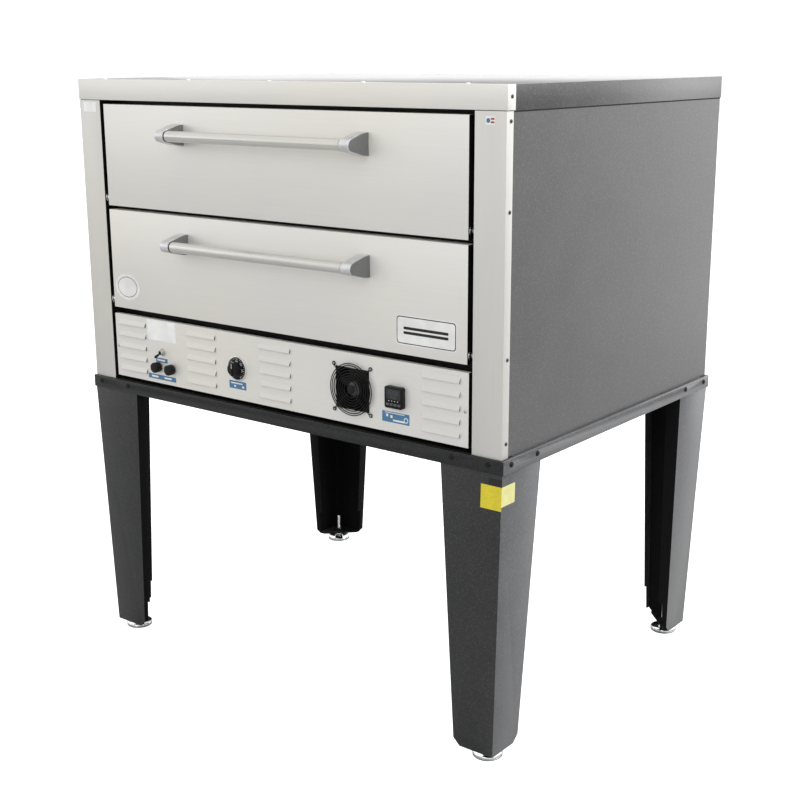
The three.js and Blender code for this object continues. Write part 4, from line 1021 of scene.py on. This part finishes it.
class OVEN_OT_thermostat_dial(bpy.types.Operator):
    """Adds the dial's marks and numbers, its bright rim and the knob's cap"""
    bl_idname = "oven.thermostat_dial"
    bl_label = "Thermostat dial"

    def execute(self, context):
        low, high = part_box("thermostat_knob")
        centre = (low + high) / 2
        radius = (high.z - low.z) / 2
        face = high.y - 2.5 * MM
        bm = bmesh.new()
        for mark in range(DIAL_MARKS):
            self.mark(bm, centre, face, radius, mark)
        piece(bm, "dial_marks", "label_white", "thermostat_dial", "black_plastic")
        for index, text in enumerate(DIAL_NUMBERS):
            angle = math.radians(DIAL_START + index * MARKS_A_NUMBER * DIAL_STEP)
            self.number(text, centre, face, angle, radius - 9.6 * MM)
        outline = ring_outline(radius, (0.6, 1), (0.6, -3), (1.4, -3.6), (2.6, -3.2), (3.6, 1),
                               (0.6, 1))
        turned_piece(outline, Vector((centre.x, high.y, centre.z)), Y_AXIS, 56, "dial_rim",
                     "chrome", "oven_body", "chrome")
        cap = Vector((centre.x, low.y, centre.z))
        bm = bmesh.new()
        block(bm, cap + Vector((-0.8, -0.01, 3.0)) * MM, cap + Vector((0.8, 0.4, 14.6)) * MM)
        piece(bm, "knob_pointer", "label_white", "thermostat_dial", "black_plastic")
        return {"FINISHED"}

    def mark(self, bm, centre, face, radius, mark):
        """One line of the scale, longer and wider where a number stands."""
        angle = math.radians(DIAL_START + mark * DIAL_STEP)
        reach, half_width = (6.5, 0.45) if mark % MARKS_A_NUMBER == 0 else (4.2, 0.28)
        outward = Vector((math.sin(angle), 0, math.cos(angle)))
        half = outward.cross(Y_AXIS) * half_width * MM
        start = centre + outward * (radius - reach * MM)
        end = centre + outward * (radius - 1.6 * MM)
        for vert in bmesh.ops.create_cube(bm, size=1)["verts"]:
            place = (start if vert.co.z < 0 else end) + half * (2 * vert.co.x)
            place.y = face - (0.25 * MM if vert.co.y < 0 else -0.05 * MM)
            vert.co = place

    def number(self, text, centre, face, angle, distance):
        curve = bpy.data.curves.new("dial_number_" + text, "FONT")
        curve.body = text
        curve.size = 5.2 * MM
        curve.align_x, curve.align_y = "CENTER", "CENTER"
        curve.extrude = 0.12 * MM
        curve.resolution_u = 2
        holder = bpy.data.objects.new("dial_number_holder", curve)
        bpy.context.scene.collection.objects.link(holder)
        mesh = bpy.data.meshes.new_from_object(holder)
        bpy.data.objects.remove(holder)
        spot = centre + Vector((math.sin(angle), 0, math.cos(angle))) * distance
        spot.y = face
        turn = Matrix.Rotation(angle, 4, "Y") @ Matrix.Rotation(math.pi / 2, 4, "X")
        bm = bmesh.new()
        bm.from_mesh(mesh)
        bmesh.ops.transform(bm, matrix=Matrix.Translation(spot) @ turn, verts=bm.verts)
        piece(bm, "dial_number_" + text, "label_white", "thermostat_dial", "black_plastic")


class OVEN_OT_controller_face(bpy.types.Operator):
    """Adds the controller's window, unlit digits and lamps"""
    bl_idname = "oven.controller_face"
    bl_label = "Controller face"

    def execute(self, context):
        low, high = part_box("controller_case")
        face = low.y
        centre = (low + high) / 2
        bm = bmesh.new()
        plate(bm, Vector((low.x + 4.5 * MM, face - 0.25 * MM, centre.z - 3.5 * MM)),
              Vector((high.x - 4.5 * MM, face + 0.2 * MM, high.z - 5.0 * MM)), 1.5 * MM)
        piece(bm, "controller_window", "glass_window", "oven_body", "black_plastic")
        bm = bmesh.new()
        for down, tall in ((13 * MM, 10 * MM), (24 * MM, 6 * MM)):
            wide = tall * 0.5
            for digit in range(4):
                left = centre.x + (digit - 1.5) * wide * 1.5 - wide / 2
                self.seven_segments(bm, left, high.z - down, wide, tall, face - 0.3 * MM)
        piece(bm, "controller_digits", "grey_plastic", "oven_body", "grey_plastic")
        bm = bmesh.new()
        lens = ring_outline(0, (0, 0.5), (0.8, 0.35), (1.1, 0), (1.1, -0.5), (0, -0.5))
        for lamp in range(4):
            spot = Vector((centre.x + (lamp - 1.5) * 8 * MM, face, centre.z - 7.5 * MM))
            turned(bm, lens, spot, -Y_AXIS, 16)
        piece(bm, "controller_lamps", "label_white", "oven_body", "grey_plastic")
        return {"FINISHED"}

    def seven_segments(self, bm, left, level, wide, tall, face):
        """One unlit digit of seven bars. Level is the height of its middle."""
        thick = tall * 0.10
        back = face + 0.1 * MM
        for height in (-0.5, 0.0, 0.5):
            z = level + height * tall
            block(bm, Vector((left + thick, face, z - thick / 2)),
                  Vector((left + wide - thick, back, z + thick / 2)))
        for x in (left, left + wide):
            for height in (-0.5, 0.0):
                z = level + height * tall
                block(bm, Vector((x - thick / 2, face, z + thick * 0.8)),
                      Vector((x + thick / 2, back, z + tall / 2 - thick * 0.8)))


# The guard's ring radii, and how far its ears stand from the middle in x and z, in millimetres.
GUARD_RINGS, GUARD_EAR = (59, 54.5, 49, 43, 37, 31, 25, 19), 52.5
FOUR_WAYS = [Vector((x, 0, z)) for x in (-1, 1) for z in (-1, 1)]


class OVEN_OT_fan(bpy.types.Operator):
    """Replaces the guard with round wires and adds the hub's cap and the ear screws"""
    bl_idname = "oven.fan"
    bl_label = "Fan guard"

    def execute(self, context):
        wire = context.scene.oven_sizes.guard_wire
        ear = GUARD_EAR * MM
        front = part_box("fan_guard")[0].y
        centre = middle("fan_guard")
        ring_level = Vector((centre.x, front + wire / 2, centre.z))
        bm = bmesh.new()
        for radius in GUARD_RINGS:
            wire_ring(bm, ring_level, -Y_AXIS, radius * MM, wire)
        turned(bm, ring_outline(0, (0, 0.2), (8, 0.2), (10, -0.4), (10, -2), (0, -2)),
               Vector((centre.x, front + 0.3 * MM, centre.z)), -Y_AXIS, 32)
        for way in FOUR_WAYS:
            self.spoke(bm, ring_level + Y_AXIS * wire * 0.8, way, ear, wire)
        made = piece(bm, "fan_guard_wires", "black_enamel", "oven_body", "black_enamel")
        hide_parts("fan_guard")
        bm = bmesh.new()
        for way in FOUR_WAYS:
            spot = Vector((centre.x, PANEL_FACE, centre.z)) + way * ear
            cross_headed_screw(bm, spot, -Y_AXIS, 6.4 * MM, 3.0 * MM)
        piece(bm, "fan_guard_screws", "nickel", "oven_body", "element_steel")
        hub = Vector((centre.x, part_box("fan_rotor")[0].y, centre.z))
        turned_piece(ring_outline(0, (0, 0.5), (15, 0.5), (16, 0.1), (16, -0.3), (0, -0.3)), hub,
                     -Y_AXIS, 40, "fan_hub_disc", "grey_plastic", "fan_impeller", "black_plastic")
        return {"FINISHED"}

    def spoke(self, bm, start, way, ear, wire):
        """A wire out from the hub, its bend down to the panel, and the eye at its end."""
        outward = way.normalized()
        ear_level = PANEL_FACE - 0.4 * MM - wire / 2
        bend = start + outward * (ear * math.sqrt(2) - 4 * MM)
        foot = Vector((bend.x, ear_level, bend.z))
        wire_rod(bm, start + outward * 8 * MM, bend, wire)
        wire_rod(bm, bend - Y_AXIS * wire * 0.3, foot + Y_AXIS * wire * 0.3, wire)
        eye = Vector((start.x, ear_level, start.z)) + way * ear
        wire_ring(bm, eye, -Y_AXIS, 3.9 * MM, wire * 0.9, steps=20)


class OVEN_OT_knobs(bpy.types.Operator):
    """Rounds the moulded edges of the knob, fuse caps, controller and its buttons"""
    bl_idname = "oven.knobs"
    bl_label = "Knobs and caps"

    def execute(self, context):
        for nodes, plastic, width in (
                (["thermostat_knob"], "black_plastic", 0.5),
                (["fuse_cap_left", "fuse_cap_right"], "black_plastic", 0.45),
                (["controller_case"], "black_plastic", 0.5),
                (BUTTONS, "grey_plastic", 0.35)):
            for node in nodes:
                rounded_copy(node, "moulded", plastic, plastic, width * MM)
        return {"FINISHED"}


class OVEN_OT_feet(bpy.types.Operator):
    """Replaces each foot with a turned base, a hexagon and a threaded stud"""
    bl_idname = "oven.feet"
    bl_label = "Levelling feet"

    def execute(self, context):
        pitch = context.scene.oven_sizes.thread_pitch
        for corner in CORNERS:
            foot, body = f"{corner}_foot", f"{corner}_levelling_foot"
            low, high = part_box(foot)
            base = (low + high) / 2
            base.z = low.z
            outline = self.outline((high.x - low.x) / 2, high.z - low.z, pitch)
            made = turned_piece(outline, base, Z_AXIS, 40, f"{foot}_turned", "chrome", body,
                                "chrome", smooth_below=math.radians(50))
            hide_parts(foot)
            bm = bmesh.new()
            nut = Matrix.Translation(base + Z_AXIS * 14.5 * MM)
            across = 10.4 * MM
            bmesh.ops.create_cone(bm, cap_ends=True, segments=6, radius1=across, radius2=across,
                                  depth=7 * MM, matrix=nut)
            rounded_edges(bm, bm.edges, 0.7 * MM)
            piece(bm, f"{foot}_nut", "chrome", body, "chrome")
        return {"FINISHED"}

    def outline(self, wide, top, pitch):
        """Half of a foot's section: the grooved base, then the stud's thread and end."""
        crest, root = 5.9 * MM, 5.0 * MM
        outline = [(0, 0)]
        outline += ring_outline(wide, (-1.2, 0), (0, 1.2), (0, 4.4), (-1, 5), (0, 5.6),
                                (0, 8.3), (-1.2, 9.5), (-3, 8.6))
        outline += ring_outline(0, (13, 7.2), (11, 9.5), (5, 11.2))
        level = 11.8 * MM
        while level + pitch < top - 1.5 * MM:
            outline += [(root, level), (crest, level + pitch * 0.4),
                        (crest, level + pitch * 0.55)]
            level += pitch
        return outline + [(root, level), (root, top - 1.0 * MM), (root - 1.0 * MM, top),
                          (0, top)]


class OVEN_OT_stand_edges(bpy.types.Operator):
    """Rounds the folded edges of the legs and rails. Paints shade inside the legs, light on the
    legs' outward sides and side rails, and shade on the end rails
    """
    bl_idname = "oven.stand_edges"
    bl_label = "Stand edges"

    def execute(self, context):
        width = context.scene.oven_sizes.sheet_edge * 1.8
        for corner in CORNERS:
            made = rounded_copy(f"{corner}_leg", "folded", "stand_paint", "dark_paint", width)
            side = 1 if "right" in corner else -1
            end = 1 if "back" in corner else -1
            # The legs' outward sides take the lighter copy of the paint: painted light.
            refinish(made, "lit_side_paint", lambda face: face.normal.x * side > 0.9)
            # The legs' inner faces take the near-black copy of the paint: painted shade.
            refinish(made, "shaded_leg_inside", lambda face: face.normal.x * side < 0.3
                     and face.normal.y * end < 0.3)
        x, y = 0, 1
        # The end rails take the darker copy of the paint as painted shade. The side rails take the
        # lighter copy as painted light.
        for rail, paint, axis, out in (
                ("front_rail", "shaded_rail_paint", y, -1), ("back_rail", "shaded_rail_paint", y, 1),
                ("left_rail", "lit_side_paint", x, -1), ("right_rail", "lit_side_paint", x, 1)):
            made = rounded_copy(rail, "folded", paint, "dark_paint", width * 0.6)
            low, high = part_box(rail)
            bolts = (high if out > 0 else low)[axis] * out - 3.3 * MM
            refinish(made, "black_enamel", lambda face: face.center[axis] * out > bolts)
        return {"FINISHED"}


class OVEN_OT_element_clips(bpy.types.Operator):
    """Adds the clips that hang the upper heating elements from the chamber roofs"""
    bl_idname = "oven.element_clips"
    bl_label = "Element clips"

    def execute(self, context):
        for level in LEVELS:
            low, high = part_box(f"{level}_top_element")
            centre = (low + high) / 2
            rod = (high.z - low.z) / 2
            clip = ring_outline(rod, (0.2, -5), (1.4, -5), (1.4, 5), (0.2, 5), (0.2, -5))
            bm = bmesh.new()
            for share_x in (-0.5, -1 / 6, 1 / 6, 0.5):
                for share_y in (0.33, 0.62):
                    x = centre.x + share_x * (high.x - low.x - 2 * rod)
                    y = low.y + share_y * (high.y - low.y)
                    turned(bm, clip, Vector((x, y, centre.z)), Y_AXIS, 20)
            piece(bm, f"{level}_element_clips", "nickel", "oven_body", "element_steel")
        return {"FINISHED"}


# The soft lights: where each stands and how large it is, in metres. All face the oven's middle.
SOFT_LIGHTS = {
    "front_light": ((1.6, -7.4, 4.8), (4.0, 3.0)),
    "left_light": ((-5.2, -3.4, 2.4), (2.6, 2.6)),
    "side_light": ((3.9, 0.2, 2.6), (1.8, 1.8)),
    "back_light": ((1.75, 3.7, 1.2), (1.6, 2.4)),
    "screen_light": ((-2.6, 5.4, 1.9), (6.0, 3.4)),
    "top_light": ((2.4, 1.4, 3.7), (2.5, 2.5)),
}
LIT_MIDDLE = Vector((0, 0, 0.95))
SEEN_WHITE = 1.05
WHITE = (1, 1, 1, 1)
CAMERA_YAW, CAMERA_PITCH, CAMERA_ROLL = (math.radians(turn) for turn in (38.12, 14.61, -0.26))
CAMERA_PLACE = at(2086, -2183, 812)


class OVEN_OT_studio(bpy.types.Operator):
    """Adds the floor, the soft lights, the surround and the camera"""
    bl_idname = "oven.studio"
    bl_label = "Studio"

    def execute(self, context):
        studio = context.scene.oven_studio
        self.floor(context, studio)
        for name, (place, size) in SOFT_LIGHTS.items():
            self.soft_light(context, name, Vector(place), size, getattr(studio, name))
        self.surround(context, studio)
        self.camera(context, studio)
        context.scene.view_settings.view_transform = "Standard"
        return {"FINISHED"}

    def floor(self, context, studio):
        bm = bmesh.new()
        bmesh.ops.create_grid(bm, x_segments=1, y_segments=1, size=30)
        mesh = bpy.data.meshes.new("studio_floor")
        bm.to_mesh(mesh)
        bm.free()
        made = bpy.data.objects.new("studio_floor", mesh)
        context.scene.collection.objects.link(made)
        made.location.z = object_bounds()[0].z
        mesh.materials.append(self.floor_finish(studio))
        made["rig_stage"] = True

    def floor_finish(self, studio):
        """A plain pale floor that the camera sees as white."""
        made, tree, surface, place = blank_finish(
            "Studio floor", specular_ior_level=0.0, roughness=0.9)
        base = tint(tree, noise(tree, place, 3.0), scaled(studio.floor, 0.98),
                    scaled(studio.floor, 1.02))
        join(tree, surface.inputs, {"Base Color": base})
        plain = surface.outputs["BSDF"]
        glow = add(tree, "ShaderNodeEmission", {"Color": WHITE, "Strength": SEEN_WHITE})
        lit = add(tree, "ShaderNodeAddShader", {0: plain, 1: glow.outputs["Emission"]})
        out = next(node for node in tree.nodes if node.type == "OUTPUT_MATERIAL")
        join(tree, out.inputs, {"Surface": self.by_camera(tree, plain, lit.outputs[0])})
        return made

    def by_camera(self, tree, unseen, seen):
        """One shader for the light that falls on the oven, and another for the camera."""
        ray = add(tree, "ShaderNodeLightPath").outputs["Is Camera Ray"]
        return add(tree, "ShaderNodeMixShader", {0: ray, 1: unseen, 2: seen}).outputs[0]

    def soft_light(self, context, name, place, size, power):
        data = bpy.data.lights.new(name, "AREA")
        data.shape = "RECTANGLE"
        data.size, data.size_y = size
        data.energy = power
        lamp = bpy.data.objects.new(name, data)
        lamp.location = place
        lamp.rotation_euler = (LIT_MIDDLE - place).to_track_quat("-Z", "Y").to_euler()
        lamp.visible_camera = False
        context.scene.collection.objects.link(lamp)

    def surround(self, context, studio):
        world = bpy.data.worlds.new("studio_surround")
        context.scene.world = world
        world.use_nodes = True
        tree = world.node_tree
        tree.nodes.clear()
        dim, white = (
            add(tree, "ShaderNodeBackground", {"Color": WHITE, "Strength": bright}).outputs[0]
            for bright in (studio.sky, SEEN_WHITE))
        add(tree, "ShaderNodeOutputWorld", {"Surface": self.by_camera(tree, dim, white)})

    def camera(self, context, studio):
        sine, cosine = math.sin(CAMERA_YAW), math.cos(CAMERA_YAW)
        ahead = math.cos(CAMERA_PITCH)
        forward = Vector((-sine * ahead, cosine * ahead, -math.sin(CAMERA_PITCH)))
        level = Vector((cosine, sine, 0))
        rise = level.cross(forward)
        right = math.cos(CAMERA_ROLL) * level + math.sin(CAMERA_ROLL) * rise
        up = -math.sin(CAMERA_ROLL) * level + math.cos(CAMERA_ROLL) * rise
        data = bpy.data.cameras.new("studio_camera")
        data.lens = studio.lens
        data.sensor_width = 36
        data.clip_end = 200
        made = bpy.data.objects.new("studio_camera", data)
        turn = Matrix((right, up, -forward)).transposed().to_4x4()
        made.matrix_world = Matrix.Translation(CAMERA_PLACE) @ turn
        context.scene.collection.objects.link(made)
        context.scene.camera = made


OPERATORS = (
    OVEN_OT_frame_finishes, OVEN_OT_sheet_edges, OVEN_OT_handles, OVEN_OT_hinge_bushings,
    OVEN_OT_screws, OVEN_OT_labels, OVEN_OT_thermostat_dial, OVEN_OT_controller_face,
    OVEN_OT_fan, OVEN_OT_knobs, OVEN_OT_feet, OVEN_OT_stand_edges, OVEN_OT_element_clips,
    OVEN_OT_studio,
)
SETTINGS = {"oven_finishes": OvenFinishes, "oven_sizes": OvenSizes, "oven_studio": OvenStudio}


class OVEN_PT_panel(bpy.types.Panel):
    """Lists the oven's settings and the steps that build it"""
    bl_idname = "OVEN_PT_panel"
    bl_label = "Deck oven"
    bl_space_type = "VIEW_3D"
    bl_region_type = "UI"
    bl_category = "Deck Oven"

    def draw(self, context):
        for settings, kind in SETTINGS.items():
            box = self.layout.box()
            for name in kind.__annotations__:
                box.prop(getattr(context.scene, settings), name)
        for operator in OPERATORS:
            self.layout.operator(operator.bl_idname)


def register():
    for made in (*SETTINGS.values(), *OPERATORS, OVEN_PT_panel):
        bpy.utils.register_class(made)
    for name, kind in SETTINGS.items():
        setattr(bpy.types.Scene, name, PointerProperty(type=kind))


def unregister():
    for name in SETTINGS:
        delattr(bpy.types.Scene, name)
    for made in reversed((*SETTINGS.values(), *OPERATORS, OVEN_PT_panel)):
        bpy.utils.unregister_class(made)


def main():
    """Builds every piece and the studio."""
    register()
    for operator in OPERATORS:
        group, name = operator.bl_idname.split(".")
        getattr(getattr(bpy.ops, group), name)()


if __name__ == "__main__":
    main()
